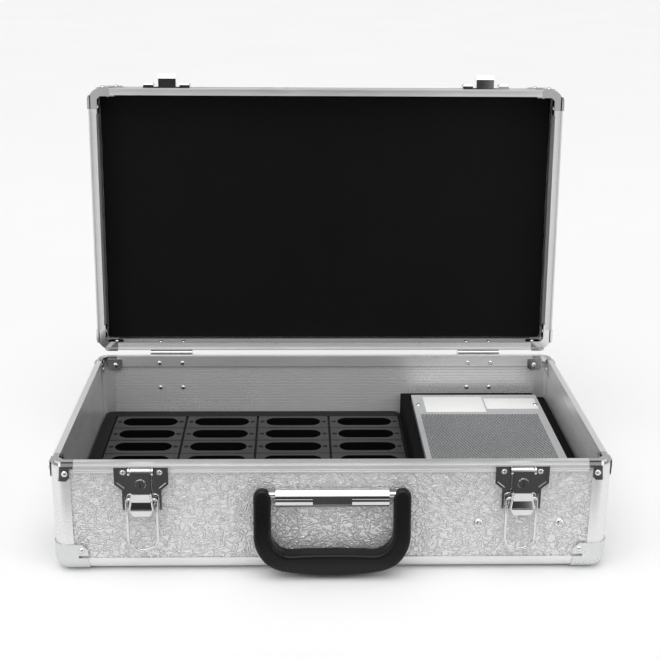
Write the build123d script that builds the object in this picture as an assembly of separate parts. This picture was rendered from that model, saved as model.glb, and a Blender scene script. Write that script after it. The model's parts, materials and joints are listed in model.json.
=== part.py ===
from build123d import *
import math
import os

# Aluminium-framed charging case, lid open. Millimetres, +Z up, +X to the right as seen from the front.
# The origin is the centre of the base's footprint, at the level of the floor.

# Outer sizes of the case
CASE_LENGTH = 460.0
CASE_DEPTH = 260.0
BASE_HEIGHT = 100.0
LID_HEIGHT = 50.0
EDGE_RADIUS = 12.0

# Walls: a panel held in extrusions with an outer and an inner flange
PANEL_THICKNESS = 4.0
FLANGE = 1.2
INNER_FLANGE = 1.4
SLOT_CLEARANCE = 0.1
POST_ARM = 17.0
EDGE_ARM = 12.5
SLOT_FLOOR = 9.6
CAP_THICKNESS = 1.0
FIT_GAP = 0.05

# Rim where lid and base meet
RIM_HEIGHT = 6.0
TONGUE_HEIGHT = 2.9
TONGUE_SETBACK = 2.1
LIP_THICKNESS = 1.15
LIP_DEPTH = 3.2
LID_GAP = 0.2
RIM_WEB = 1.2
RIM_SKIRT = 3.5
RIM_INNER_DROP = 1.5
GROOVE_DEPTH = 0.35
GROOVE_WIDTH = 0.6
CORNER_REACH = 20.0
CORNER_CHAMFER = 5.0
TAB_WIDTH = 17.0
TAB_HEIGHT = 13.0
TAB_CORNER = 3.0
INNER_TAB_START = 9.5
INNER_TAB_END = 25.0

# Bottom and top corner caps
CAP_REACH = 28.5
CAP_HEIGHT = 26.0
CAP_EAR_CORNER = 5.0
CAP_SLOT_LENGTH = 8.0
CAP_SLOT_WIDTH = 2.4
CAP_SLOT_HEIGHT = 15.0
CAP_RIVET_INSET = 23.0
CAP_RIVET_HEIGHT = 20.5

RIVET_RADIUS = 2.6
RIVET_HEAD = 1.3
RIVET_TOP_SHARE = 0.6
RIVET_SIDES = 8

# Ribbed inner face of the back panel
RIB_PITCH = 3.1
RIB_DEPTH = 0.5

# Hinges
HINGE_SPACING = 312.0
HINGE_WIDTH = 42.0
HINGE_LEAF = 1.4
HINGE_LEAF_HEIGHT = 41.0
HINGE_OFFSET = 3.6
KNUCKLE_RADIUS = 3.3
HINGE_PIN_RADIUS = 1.25
RUNNING_CLEARANCE = 0.05
KNUCKLE_GAP = 0.25
HINGE_CENTRE_SHARE = 0.46
HINGE_STOP_REACH = 8.0
HINGE_STOP_WIDTH = 7.0
LID_OPEN_ANGLE = 95.0
HINGE_RIVET_SPACING = 23.0
HINGE_RIVET_DROP = 7.4
HINGE_RIVET_PITCH = 27.0
HINGE_RIVET_RADIUS = 2.3
HINGE_RIVET_HEAD = 1.0

# Draw latches
LATCH_SPACING = 310.0
LATCH_PLATE_WIDTH = 44.0
LATCH_FOOT_WIDTH = 32.0
LATCH_TOP = BASE_HEIGHT - 3.0
LATCH_SHOULDER = BASE_HEIGHT - 18.0
LATCH_BOTTOM = BASE_HEIGHT - 41.0
LATCH_PLATE = 1.4
LATCH_BORDER = 1.2
LATCH_BORDER_WIDTH = 2.0
LATCH_RIVET_SPACING = 29.6
LATCH_RIVET_HEIGHT = BASE_HEIGHT - 7.7
LEVER_WIDTH = 16.5
LEVER_PIVOT_HEIGHT = BASE_HEIGHT - 5.5
LEVER_PIVOT_OUT = 5.0
LEVER_BARREL = 3.1
LEVER_PIN_RADIUS = 1.5
LEVER_END = BASE_HEIGHT - 43.0
LEVER_FLARE_WIDTH = 21.0
LEVER_SHOULDER = BASE_HEIGHT - 24.0
LEVER_BACK = 2.2
LEVER_FRONT = 8.0
LEVER_CORNER = 1.3
EAR_THICKNESS = 1.6
EAR_GAP = 0.4
LOCK_RADIUS = 4.0
LOCK_HEIGHT = BASE_HEIGHT - 15.5
LOCK_PROUD = 1.2
KEYHOLE_WIDTH = 1.2
KEYHOLE_LENGTH = 5.0
KEYHOLE_DEPTH = 3.0
BAIL_WIRE_RADIUS = 1.25
BAIL_WIRE_SIDES = 8
BAIL_WIDTH = 24.5
BAIL_PIVOT_HEIGHT = BASE_HEIGHT - 30.0
BAIL_PIVOT_OUT = 5.6
BAIL_BOTTOM = BASE_HEIGHT - 77.3
BAIL_END_DEPTH = 3.4
BAIL_BEND = 2.2

# Lid catches
CATCH_WIDTH = 45.0
CATCH_LOW = BASE_HEIGHT + 1.5
CATCH_HIGH = BASE_HEIGHT + 20.0
CATCH_BOSS = 4.5
CATCH_BOSS_WIDTH = 10.0
HOOK_WIDTH = 17.0
HOOK_REACH = 13.0
HOOK_GROOVE_WIDTH = 3.4
HOOK_TOP_ABOVE_WIRE = 2.4
HOOK_FLOOR = 5.5

# Handle
BRACKET_LENGTH = 92.5
BRACKET_LOW = 61.1
BRACKET_HIGH = 77.9
BRACKET_OUT = 9.5
BRACKET_RECESS = (32.0, 8.0, 0.7)
HANDLE_PIN_RADIUS = 2.5
HANDLE_PIVOT_OUT = 4.6
HANDLE_PIVOT_HEIGHT = 73.3
GRIP_SWING_CLEARANCE = 0.3
HANDLE_PIN_DEPTH = 12.0
GRIP_WIDTH = 129.0
GRIP_OPENING = 100.0
GRIP_BOTTOM = 3.0
GRIP_BAR_TOP = 21.0
GRIP_BAR_WAVE = 3.0
GRIP_BACK = 0.6
GRIP_ARM_DEPTH = 12.0
GRIP_BAR_DEPTH = 17.0
GRIP_EDGE = 1.6
GRIP_BEND = 40.0

# Front screws
FRONT_SCREWS_X = (121.8, 189.1)
FRONT_SCREW_HEIGHT = 43.7
FRONT_SCREW_RADIUS = 4.2
FRONT_SCREW_HEAD = 2.0

# Tray with charging bays
TRAY_TOP = 41.0
TRAY_THICKNESS = 2.5
TRAY_RIGHT = 76.0
TRAY_GAP = 0.8
TRAY_CORNER = 8.0
BAY_COLUMNS = 4
BAY_ROWS = 6
BAY_PITCH_X = 71.2
BAY_PITCH_Y = 30.2
BAY_FIRST_X = -175.0
BAY_FIRST_Y = 93.9
BAY_PLATE = (69.6, 29.5, 2.5)
BAY_SLOT = (54.0, 19.0)
BAY_SLOT_CORNER = 5.0
BAY_TUBE = (58.0, 22.6)
BAY_TUBE_BOTTOM = 12.0
TUBE_CLEARANCE = 0.3
BOARD_THICKNESS = 1.6
BOARD_WIDTH = 25.0
CONTACT_SIZE = (4.0, 3.0, 1.2)
CONTACT_SPACING = 18.0
STANDOFF_RADIUS = 3.0
RAIL_WIDTH = 7.0

# Power supply
SUPPLY_LENGTH = 225.0
SUPPLY_WIDTH = 126.0
SUPPLY_HEIGHT = 50.0
SUPPLY_X = 149.5
SUPPLY_BACK = 110.0
SUPPLY_TOP = 63.0
SHEET = 1.5
COVER_LENGTH = 205.0
SUPPLY_SCREW_RADIUS = 2.6
SUPPLY_SCREW_HEAD = 1.4
TERMINAL_SIZE = (100.0, 15.0, 18.0)
TERMINAL_WAYS = 9

# Foam
FOAM_TOP = 61.0
FOAM_GAP = 0.3
LID_FOAM_RECESS = 24.0

# Mains inlet
INLET_Y = -75.0
INLET_Z = 25.5
INLET_FLANGE = (50.0, 23.0, 3.0)
INLET_BODY = (28.0, 20.0, 20.0)
INLET_MOUTH = (24.0, 16.0, 15.0)
INLET_PIN = (2.0, 4.0, 10.0)
INLET_PIN_PITCH = 7.0

# Levels and places that follow from the sizes above
WALL = FLANGE + PANEL_THICKNESS + 2 * SLOT_CLEARANCE + INNER_FLANGE
SLOT_END = WALL - INNER_FLANGE
PANEL_OUT = FLANGE + SLOT_CLEARANCE
PANEL_IN = PANEL_OUT + PANEL_THICKNESS
PARTING = BASE_HEIGHT - TONGUE_HEIGHT
LIP_LEVEL = PARTING + LID_GAP
BELOW_BASE_RIM = BASE_HEIGHT - RIM_HEIGHT - RIM_SKIRT - FIT_GAP
ABOVE_LID_RIM = LIP_LEVEL + RIM_HEIGHT + RIM_SKIRT + FIT_GAP
BELOW_LID_EDGE = LIP_LEVEL + LID_HEIGHT - CAP_THICKNESS - EDGE_ARM - FIT_GAP
FLOOR_TOP = CAP_THICKNESS + PANEL_IN
FRONT = -CASE_DEPTH / 2
BACK = CASE_DEPTH / 2
HINGE_Y = BACK + HINGE_OFFSET
HINGE_Z = BASE_HEIGHT
GRIP_HEEL = HANDLE_PIVOT_OUT + PANEL_OUT - GRIP_SWING_CLEARANCE
GRIP_TOP = HANDLE_PIVOT_HEIGHT + GRIP_HEEL
BAIL_LENGTH = BAIL_PIVOT_HEIGHT - BAIL_BOTTOM - BAIL_WIRE_RADIUS


# Basic shapes

def block(low, high):
    """A box between two corners."""
    centre = [(a + b) / 2 for a, b in zip(low, high)]
    return Pos(*centre) * Box(*[b - a for a, b in zip(low, high)])


def front_block(x_span, out_span, z_span):
    """A box in front of the front face, where out is the distance from that face."""
    return block(
        (x_span[0], FRONT - out_span[1], z_span[0]),
        (x_span[1], FRONT - out_span[0], z_span[1]),
    )


def x_rod(radius, x_span, y, z):
    """A round bar along X."""
    length = x_span[1] - x_span[0]
    return Pos((x_span[0] + x_span[1]) / 2, y, z) * Rot(0, 90, 0) * Cylinder(radius, length)


def rivet(point, outward, radius=RIVET_RADIUS, head=RIVET_HEAD):
    """A low head with sloping sides that stands on a surface, drawn with few sides because it repeats."""
    foot = RegularPolygon(radius, RIVET_SIDES)
    crown = Pos(0, 0, head) * RegularPolygon(RIVET_TOP_SHARE * radius, RIVET_SIDES)
    return Plane(origin=point, z_dir=outward) * loft([foot, crown], ruled=True)


def tidy(shape):
    """The one solid of a fused shape."""
    return shape.solids()[0]


def four_corners(shape):
    """The shape at the front left corner and its mirror images at the other three."""
    right = mirror(shape, Plane.YZ)
    return [shape, right, mirror(shape, Plane.XZ), mirror(right, Plane.XZ)]


def save(name, shapes):
    """Write one node from a solid or a list of solids."""
    solids = shapes if isinstance(shapes, list) else [shapes]
    parts = [solid for shape in solids for solid in shape.solids()]
    export_step(parts[0] if len(parts) == 1 else Compound(children=parts), f"parts/{name}.step")


# Sides of the case: local X runs inwards from the outer face and local Y runs up

SIDES = {
    "front": (Plane((0, FRONT, 0), x_dir=(0, 1, 0), z_dir=(1, 0, 0)), CASE_LENGTH),
    "back": (Plane((0, BACK, 0), x_dir=(0, -1, 0), z_dir=(-1, 0, 0)), CASE_LENGTH),
    "left": (Plane((-CASE_LENGTH / 2, 0, 0), x_dir=(1, 0, 0), z_dir=(0, -1, 0)), CASE_DEPTH),
    "right": (Plane((CASE_LENGTH / 2, 0, 0), x_dir=(-1, 0, 0), z_dir=(0, 1, 0)), CASE_DEPTH),
}


def along(side, points, end_gap):
    """A profile of inward distance and height, run along one side and short of its ends by end_gap."""
    plane, length = SIDES[side]
    profile = make_face(Polyline(*points, points[0]))
    return extrude(plane * profile, length / 2 - end_gap, both=True)


# Extrusions and panels, shared by base and lid, each drawn with its opening at the top

def corner_section(arm):
    """Section of a corner extrusion: a rounded angle with a slot for a panel in each arm."""
    angle = Pos(arm / 2, arm / 2) * Rectangle(arm, arm)
    angle = fillet(angle.vertices().group_by(Axis.X)[0].sort_by(Axis.Y)[0], EDGE_RADIUS)
    inside = arm - WALL
    angle -= Pos(WALL + inside / 2, WALL + inside / 2) * Rectangle(inside, inside)
    depth = arm - slot_floor(arm)
    middle = (FLANGE + SLOT_END) / 2
    width = SLOT_END - FLANGE
    angle -= Pos(arm - depth / 2, middle) * Rectangle(depth, width)
    angle -= Pos(middle, arm - depth / 2) * Rectangle(width, depth)
    return angle


def slot_floor(arm):
    """How far from the corner the panel slot of an arm starts."""
    return max(SLOT_FLOOR, arm - 4.0)


def envelope(height, grow):
    """The rounded outer form of a shell, grown evenly outwards."""
    length = CASE_LENGTH + 2 * grow
    depth = CASE_DEPTH + 2 * grow
    tall = height + grow
    form = Pos(0, 0, CAP_THICKNESS + height - tall / 2) * Box(length, depth, tall)
    upright = form.edges().filter_by(Axis.Z)
    bottom = form.faces().sort_by(Axis.Z)[0].edges()
    return fillet(upright + bottom, EDGE_RADIUS + grow)


def corner_posts(height):
    """Four vertical corner extrusions, rounded into the bottom, up to the rim."""
    top = height - RIM_HEIGHT + RIM_WEB
    post = extrude(corner_section(POST_ARM), top)
    post = Pos(-CASE_LENGTH / 2, FRONT, 0) * post
    post = post & envelope(height, 0)
    post &= block((-CASE_LENGTH, -CASE_DEPTH, 0), (0, 0, top))
    return four_corners(tidy(post))


def edge_extrusions():
    """Four straight extrusions along the rounded edge between the sides and the bottom."""
    section = Pos(0, CAP_THICKNESS) * corner_section(EDGE_ARM)
    runs = []
    for plane, length in SIDES.values():
        runs.append(extrude(plane * section, length / 2 - POST_ARM - FIT_GAP, both=True))
    return runs


def side_panel(side, height):
    """A flat panel in its slots."""
    low = CAP_THICKNESS + SLOT_FLOOR + SLOT_CLEARANCE
    high = height - RIM_HEIGHT + RIM_WEB - SLOT_CLEARANCE
    ends = slot_floor(POST_ARM) + SLOT_CLEARANCE
    outline = [(PANEL_OUT, low), (PANEL_OUT, high), (PANEL_IN, high), (PANEL_IN, low)]
    return along(side, outline, ends)


def ribbed_panel(side, height):
    """A panel whose inner face has fine level ribs between its flanges."""
    low = CAP_THICKNESS + SLOT_FLOOR + SLOT_CLEARANCE
    high = height - RIM_HEIGHT + RIM_WEB - SLOT_CLEARANCE
    first = CAP_THICKNESS + EDGE_ARM + RIB_PITCH
    last = height - RIM_HEIGHT - RIM_INNER_DROP - RIB_PITCH
    count = int((last - first) / RIB_PITCH)
    outline = [(PANEL_OUT, low), (PANEL_OUT, high), (PANEL_IN, high)]
    for number in range(count, -1, -1):
        level = first + number * RIB_PITCH
        outline += [(PANEL_IN, level + 0.3), (PANEL_IN - RIB_DEPTH, level), (PANEL_IN, level - 0.3)]
    outline.append((PANEL_IN, low))
    return along(side, outline, slot_floor(POST_ARM) + SLOT_CLEARANCE)


def bottom_panel():
    """The panel that closes the shell opposite its opening."""
    inset = SLOT_FLOOR + SLOT_CLEARANCE
    return block(
        (-CASE_LENGTH / 2 + inset, FRONT + inset, CAP_THICKNESS + PANEL_OUT),
        (CASE_LENGTH / 2 - inset, BACK - inset, CAP_THICKNESS + PANEL_IN),
    )


def corner_caps(height):
    """Four stamped caps over the three-way rounded corners, each with a slot below its rivet ear."""
    shell = envelope(height, CAP_THICKNESS) - envelope(height, FIT_GAP)
    far = (-CASE_LENGTH / 2 + CAP_REACH, FRONT + CAP_REACH, CAP_HEIGHT)
    corner = block((-CASE_LENGTH, -CASE_DEPTH, -1), far)
    cap = tidy(shell & corner)
    sheet = Rectangle(CAP_REACH + 2 * CAP_THICKNESS, CAP_HEIGHT)
    reach = Pos(CAP_REACH / 2 - CAP_THICKNESS, CAP_HEIGHT / 2) * sheet
    ear = reach.vertices().group_by(Axis.X)[-1].sort_by(Axis.Y)[-1]
    reach = chamfer(ear, CAP_EAR_CORNER)
    slot = Pos(CAP_REACH - CAP_SLOT_LENGTH / 2, CAP_SLOT_HEIGHT) * Rectangle(CAP_SLOT_LENGTH, CAP_SLOT_WIDTH)
    outline = reach - slot
    for side in ("front", "left"):
        plane, _ = SIDES[side]
        across = plane.z_dir
        face = Plane(
            (-CASE_LENGTH / 2, FRONT, 0),
            x_dir=(abs(across.X), abs(across.Y), 0),
            z_dir=Vector(abs(across.X), abs(across.Y), 0).cross(Vector(0, 0, 1)),
        )
        cap &= extrude(face * outline, 3 * CAP_REACH, both=True)
    return four_corners(tidy(cap))


def cap_rivets():
    """Rivets in the ears of the corner caps, two to a corner."""
    grow = CAP_THICKNESS
    front = rivet((-CASE_LENGTH / 2 + CAP_RIVET_INSET, FRONT - grow, CAP_RIVET_HEIGHT), (0, -1, 0))
    side = rivet((-CASE_LENGTH / 2 - grow, FRONT + CAP_RIVET_INSET, CAP_RIVET_HEIGHT), (-1, 0, 0))
    return four_corners(front) + four_corners(side)


# Rims

def rim_points(height, step):
    """Profile of a straight rim; step draws the tongue of the base or the lip of the lid."""
    web_top = height - TONGUE_HEIGHT if step == "tongue" else height - LIP_DEPTH
    slot_top = height - RIM_HEIGHT + RIM_WEB
    low = height - RIM_HEIGHT - RIM_SKIRT
    grooves = []
    for level in (low + 1.6, low + 3.2):
        grooves += [(0, level - GROOVE_WIDTH / 2), (GROOVE_DEPTH, level), (0, level + GROOVE_WIDTH / 2)]
    if step == "tongue":
        top = [(0, web_top), (TONGUE_SETBACK, web_top), (TONGUE_SETBACK, height), (WALL, height)]
    else:
        top = [(0, height), (LIP_THICKNESS, height), (LIP_THICKNESS, web_top), (WALL, web_top)]
    slot = [
        (WALL, low - RIM_INNER_DROP),
        (SLOT_END, low - RIM_INNER_DROP),
        (SLOT_END, slot_top),
        (FLANGE, slot_top),
        (FLANGE, low),
    ]
    return [(0, low)] + grooves + top + slot


def corner_ring(outer, inner, reach, chamfer):
    """Plan of a corner piece between two distances from the outer faces."""
    size = reach - outer
    ring = Pos(outer + size / 2, outer + size / 2) * Rectangle(size, size)
    if EDGE_RADIUS > outer:
        ring = fillet(ring.vertices().group_by(Axis.X)[0].sort_by(Axis.Y)[0], EDGE_RADIUS - outer)
    hollow_size = reach - inner
    hollow = Pos(inner + hollow_size / 2, inner + hollow_size / 2) * Rectangle(hollow_size, hollow_size)
    if chamfer:
        hollow = chamfer_corner(hollow, chamfer)
    return ring - hollow


def chamfer_corner(sketch, size):
    """Cut the corner of a rectangle that is nearest the origin at 45 degrees."""
    return chamfer(sketch.vertices().group_by(Axis.X)[0].sort_by(Axis.Y)[0], size)


def tab(start, end, low, high, corner, depth_span, cut=1):
    """A plate on the front face near the corner, with its far lower corner cut off, or both of them."""
    plate = Pos((start + end) / 2, (low + high) / 2) * Rectangle(end - start, high - low)
    plate = chamfer(plate.vertices().group_by(Axis.Y)[0].sort_by(Axis.X)[-cut:], corner)
    face = Plane((0, depth_span[0], 0), x_dir=(1, 0, 0), z_dir=(0, -1, 0))
    return extrude(face * plate, depth_span[0] - depth_span[1])


def swapped(shape):
    """The shape mirrored across the diagonal of its corner."""
    return mirror(shape, Plane((0, 0, 0), z_dir=(1, -1, 0)))


def rim_corners(height, step):
    """Four curved corner pieces that join the straight rims, with riveted tabs inside and outside."""
    web_top = height - TONGUE_HEIGHT if step == "tongue" else height - LIP_DEPTH
    under = height - RIM_HEIGHT + RIM_WEB + FIT_GAP
    tab_low = height - TONGUE_HEIGHT - TAB_HEIGHT
    skirt_top = web_top if step == "tongue" else height
    flange = Pos(0, 0, under) * extrude(corner_ring(0, WALL, CORNER_REACH, CORNER_CHAMFER), web_top - under)
    if step == "tongue":
        raised = corner_ring(TONGUE_SETBACK, WALL, CORNER_REACH, CORNER_CHAMFER)
        flange += Pos(0, 0, web_top) * extrude(raised, height - web_top)
    else:
        raised = corner_ring(0, LIP_THICKNESS, CORNER_REACH, 0)
        flange += Pos(0, 0, web_top) * extrude(raised, height - web_top)
    skirt_zone = corner_ring(-CAP_THICKNESS, -FIT_GAP, EDGE_RADIUS + 1, 0)
    skirt = Pos(0, 0, tab_low) * extrude(skirt_zone, skirt_top - tab_low)
    leg_zone = corner_ring(-CAP_THICKNESS, 0, CORNER_REACH, 0)
    leg = Pos(0, 0, under) * extrude(leg_zone, skirt_top - under)
    plate = tab(EDGE_RADIUS, TAB_WIDTH, tab_low, skirt_top, TAB_CORNER, (-FIT_GAP, -CAP_THICKNESS))
    piece = flange + leg + skirt + plate + swapped(plate)
    inner_low = tab_low + 1.5
    inner_span = (WALL + FIT_GAP + CAP_THICKNESS, WALL + FIT_GAP)
    inner = tab(INNER_TAB_START, INNER_TAB_END, inner_low, web_top, TAB_CORNER, inner_span, cut=2)
    piece += inner + swapped(inner)
    piece = Pos(-CASE_LENGTH / 2, FRONT, 0) * piece
    return four_corners(tidy(piece))


def rim_rivets(height):
    """Rivets in the tabs of the rim corners: one outside and one inside on each face."""
    level = height - TONGUE_HEIGHT - TAB_HEIGHT / 2
    outside = (EDGE_RADIUS + TAB_WIDTH) / 2 - 1.5
    inside = (INNER_TAB_START + INNER_TAB_END) / 2 + 1
    inner_face = WALL + FIT_GAP + CAP_THICKNESS
    shapes = [
        rivet((-CASE_LENGTH / 2 + outside, FRONT - CAP_THICKNESS, level), (0, -1, 0)),
        rivet((-CASE_LENGTH / 2 - CAP_THICKNESS, FRONT + outside, level), (-1, 0, 0)),
        rivet((-CASE_LENGTH / 2 + inside, FRONT + inner_face, level), (0, 1, 0)),
        rivet((-CASE_LENGTH / 2 + inner_face, FRONT + inside, level), (1, 0, 0)),
    ]
    return [copy for shape in shapes for copy in four_corners(shape)]


def build_shell(name, height, step):
    """Write every piece of one shell; returns a function's worth of solids by node name."""
    pieces = {}
    for side in SIDES:
        panel = ribbed_panel if (side == "back" and name == "base") else side_panel
        pieces[f"{name}_panel_{side}"] = panel(side, height)
        pieces[f"{name}_rim_{side}"] = along(side, rim_points(height, step), CORNER_REACH + FIT_GAP)
    pieces[f"{name}_edge_extrusions"] = edge_extrusions()
    pieces[f"{name}_corner_posts"] = corner_posts(height)
    pieces[f"{name}_corner_caps"] = corner_caps(height)
    pieces[f"{name}_rim_corners"] = rim_corners(height, step)
    pieces[f"{name}_rivets"] = cap_rivets_for(height) + rim_rivets(height)
    pieces[f"{name}_panel_{'bottom' if name == 'base' else 'top'}"] = bottom_panel()
    return pieces


def cap_rivets_for(height):
    """Cap rivets, left out where the caps reach the rim tabs."""
    return cap_rivets() if height > CAP_HEIGHT + TAB_HEIGHT else []


# Hinges

def hinge_x(side):
    return side * HINGE_SPACING / 2


def knuckle_spans(centre):
    """Lengths along X of the two outer knuckles and of the one between them."""
    half = HINGE_WIDTH / 2
    middle = half * HINGE_CENTRE_SHARE
    outer = [(centre - half, centre - middle - KNUCKLE_GAP), (centre + middle + KNUCKLE_GAP, centre + half)]
    return outer, (centre - middle, centre + middle)


def hinge_base_leaf(side):
    """Leaf on the back of the base, with two knuckles and two stops that the lid leaf comes to rest on."""
    centre = hinge_x(side)
    half = HINGE_WIDTH / 2
    outer, _ = knuckle_spans(centre)
    low = HINGE_Z - HINGE_LEAF_HEIGHT
    leaf = block((centre - half, BACK, low), (centre + half, BACK + HINGE_LEAF, PARTING))
    leaf += block((centre - half, BACK - PANEL_OUT, low), (centre + half, BACK, BELOW_BASE_RIM))
    stop_level = HINGE_Z + HINGE_OFFSET - HINGE_LEAF
    for span in outer:
        leaf += x_rod(KNUCKLE_RADIUS, span, HINGE_Y, HINGE_Z)
        leaf += block((span[0], BACK, HINGE_Z - 6), (span[1], BACK + HINGE_LEAF, HINGE_Z))
        end = span[0] if span[0] < centre - half / 2 else span[1] - HINGE_STOP_WIDTH
        leaf += stop_arm(end, stop_level)
    leaf -= x_rod(HINGE_PIN_RADIUS, (centre - half - 1, centre + half + 1), HINGE_Y, HINGE_Z)
    return tidy(leaf)


def stop_arm(start, level):
    """An arm bent out from under a knuckle and up to the level where the open lid rests."""
    near = HINGE_Y + KNUCKLE_RADIUS + 0.6
    far = HINGE_Y + HINGE_STOP_REACH
    low = HINGE_Z - KNUCKLE_RADIUS - 3.0
    tilt = math.radians(LID_OPEN_ANGLE - 90)
    top_near = level - FIT_GAP - math.tan(tilt) * (near - HINGE_Y)
    top_far = level - FIT_GAP - math.tan(tilt) * (far - HINGE_Y)
    outline = Polyline(
        (BACK, low),
        (BACK, low + 2),
        (near, low + 2),
        (near, top_near),
        (far, top_far),
        (far, low + 1.5),
        (far - 1.5, low),
        (BACK, low),
    )
    face = Plane((start, 0, 0), x_dir=(0, 1, 0), z_dir=(1, 0, 0)) * make_face(outline)
    return extrude(face, HINGE_STOP_WIDTH)


def hinge_lid_leaf(side):
    """Leaf on the back of the lid, drawn closed, with the middle knuckle."""
    centre = hinge_x(side)
    half = HINGE_WIDTH / 2
    _, middle = knuckle_spans(centre)
    high = HINGE_Z + HINGE_LEAF_HEIGHT
    shoulder = HINGE_Z + KNUCKLE_RADIUS + 0.4
    leaf = block((centre - half, BACK, shoulder), (centre + half, BACK + HINGE_LEAF, high))
    leaf += block((centre - half, BACK - PANEL_OUT, ABOVE_LID_RIM), (centre + half, BACK, BELOW_LID_EDGE))
    leaf += x_rod(KNUCKLE_RADIUS, middle, HINGE_Y, HINGE_Z)
    leaf += block((middle[0], BACK, HINGE_Z), (middle[1], BACK + HINGE_LEAF, shoulder + 1))
    bore = HINGE_PIN_RADIUS + RUNNING_CLEARANCE
    leaf -= x_rod(bore, (centre - half, centre + half), HINGE_Y, HINGE_Z)
    return tidy(leaf)


def hinge_pin(side):
    centre = hinge_x(side)
    half = HINGE_WIDTH / 2
    return x_rod(HINGE_PIN_RADIUS, (centre - half, centre + half), HINGE_Y, HINGE_Z)


def hinge_rivets(first_level, direction, inner_rows):
    """Rivet heads of both hinges: outside on the leaves, and inside on the rim flange and the panel."""
    inner_faces = (BACK - WALL, BACK - PANEL_IN)
    heads = []
    for side in (-1, 1):
        for across in (-1, 1):
            x = hinge_x(side) + across * HINGE_RIVET_SPACING / 2
            for number in (0, 1):
                z = first_level + direction * number * HINGE_RIVET_PITCH
                foot = (x, BACK + HINGE_LEAF, z)
                heads.append(rivet(foot, (0, 1, 0), HINGE_RIVET_RADIUS, HINGE_RIVET_HEAD))
                if number < inner_rows:
                    point = (x, inner_faces[number], z)
                    heads.append(rivet(point, (0, -1, 0), HINGE_RIVET_RADIUS, HINGE_RIVET_HEAD))
    return heads


# Latches

def latch_x(side):
    return side * LATCH_SPACING / 2


def latch_plate(side):
    """Back plate with a raised border and two ears that hold the lever's pin."""
    centre = latch_x(side)
    half = LATCH_PLATE_WIDTH / 2
    foot = LATCH_FOOT_WIDTH / 2
    outline = Polyline(
        (-half, LATCH_TOP),
        (half, LATCH_TOP),
        (half, LATCH_SHOULDER),
        (foot, LATCH_SHOULDER - 5),
        (foot, LATCH_BOTTOM),
        (-foot, LATCH_BOTTOM),
        (-foot, LATCH_SHOULDER - 5),
        (-half, LATCH_SHOULDER),
        (-half, LATCH_TOP),
    )
    face = Plane((centre, FRONT, 0), x_dir=(1, 0, 0), z_dir=(0, -1, 0))
    shape = make_face(outline)
    plate = extrude(face * shape, LATCH_PLATE)
    border = shape - offset(shape, -LATCH_BORDER_WIDTH, kind=Kind.INTERSECTION)
    plate += extrude(face * border, LATCH_PLATE + LATCH_BORDER)
    sheet = Rectangle(LATCH_PLATE_WIDTH, BELOW_BASE_RIM - LATCH_BOTTOM)
    lower = Pos(0, (LATCH_BOTTOM + BELOW_BASE_RIM) / 2) * sheet
    plate += extrude(face * (shape & lower), -PANEL_OUT)
    plate -= front_block((centre - 10.6, centre + 10.6), (LATCH_PLATE, 5), (LATCH_TOP - 9.5, LATCH_TOP + 1))
    inner = LEVER_WIDTH / 2 + EAR_GAP
    for across in (-1, 1):
        near = centre + across * inner
        far = centre + across * (inner + EAR_THICKNESS)
        span = (min(near, far), max(near, far))
        plate += front_block(span, (0, LEVER_PIVOT_OUT), (LEVER_PIVOT_HEIGHT - 3, LATCH_TOP))
        plate += x_rod(LEVER_BARREL, span, FRONT - LEVER_PIVOT_OUT, LEVER_PIVOT_HEIGHT)
    hole = (centre - inner - 2, centre + inner + 2)
    plate -= x_rod(LEVER_PIN_RADIUS, hole, FRONT - LEVER_PIVOT_OUT, LEVER_PIVOT_HEIGHT)
    return tidy(plate)


def latch_pin(side):
    centre = latch_x(side)
    half = LEVER_WIDTH / 2 + EAR_GAP + EAR_THICKNESS
    span = (centre - half, centre + half)
    return x_rod(LEVER_PIN_RADIUS, span, FRONT - LEVER_PIVOT_OUT, LEVER_PIVOT_HEIGHT)


def latch_lever(side):
    """Lever that hangs from its pin, with a bore for the lock and a swelling thumb end."""
    centre = latch_x(side)
    half = LEVER_WIDTH / 2
    span = (centre - half, centre + half)
    y = FRONT - LEVER_PIVOT_OUT
    lever = x_rod(LEVER_BARREL, span, y, LEVER_PIVOT_HEIGHT)
    lever += front_block(span, (LEVER_BACK, LEVER_FRONT), (LEVER_SHOULDER, LEVER_PIVOT_HEIGHT))
    sections = []
    rows = (
        (LEVER_SHOULDER, LEVER_WIDTH, LEVER_BACK, LEVER_FRONT),
        (LEVER_SHOULDER - 7, LEVER_FLARE_WIDTH - 2, LEVER_BACK, LEVER_FRONT + 1.4),
        (LEVER_END + 6, LEVER_FLARE_WIDTH, LEVER_BACK + 1.2, LEVER_FRONT + 3.4),
        (LEVER_END, LEVER_WIDTH - 1, LEVER_BACK + 4.0, LEVER_FRONT + 3.0),
    )
    for level, width, back, front in rows:
        place = Plane((centre, FRONT - (back + front) / 2, level), x_dir=(1, 0, 0), z_dir=(0, 0, 1))
        outline = Rectangle(width, front - back)
        sections.append(place * chamfer(outline.vertices(), LEVER_CORNER))
    lever += loft(sections, ruled=True)
    bore = LEVER_PIN_RADIUS + RUNNING_CLEARANCE
    lever -= x_rod(bore, (span[0] - 1, span[1] + 1), y, LEVER_PIVOT_HEIGHT)
    seat = Pos(centre, FRONT - LEVER_FRONT, LOCK_HEIGHT) * Rot(90, 0, 0)
    lever -= seat * Cylinder(LOCK_RADIUS + RUNNING_CLEARANCE, 4 * LEVER_FRONT)
    wire = BAIL_WIRE_RADIUS + RUNNING_CLEARANCE
    for across in (-1, 1):
        inner = bail_inner(across, centre) - across * 0.1
        end = centre + across * BAIL_WIDTH
        hole = (min(inner, end), max(inner, end))
        lever -= x_rod(wire, hole, FRONT - BAIL_PIVOT_OUT, BAIL_PIVOT_HEIGHT)
    return tidy(lever)


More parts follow.
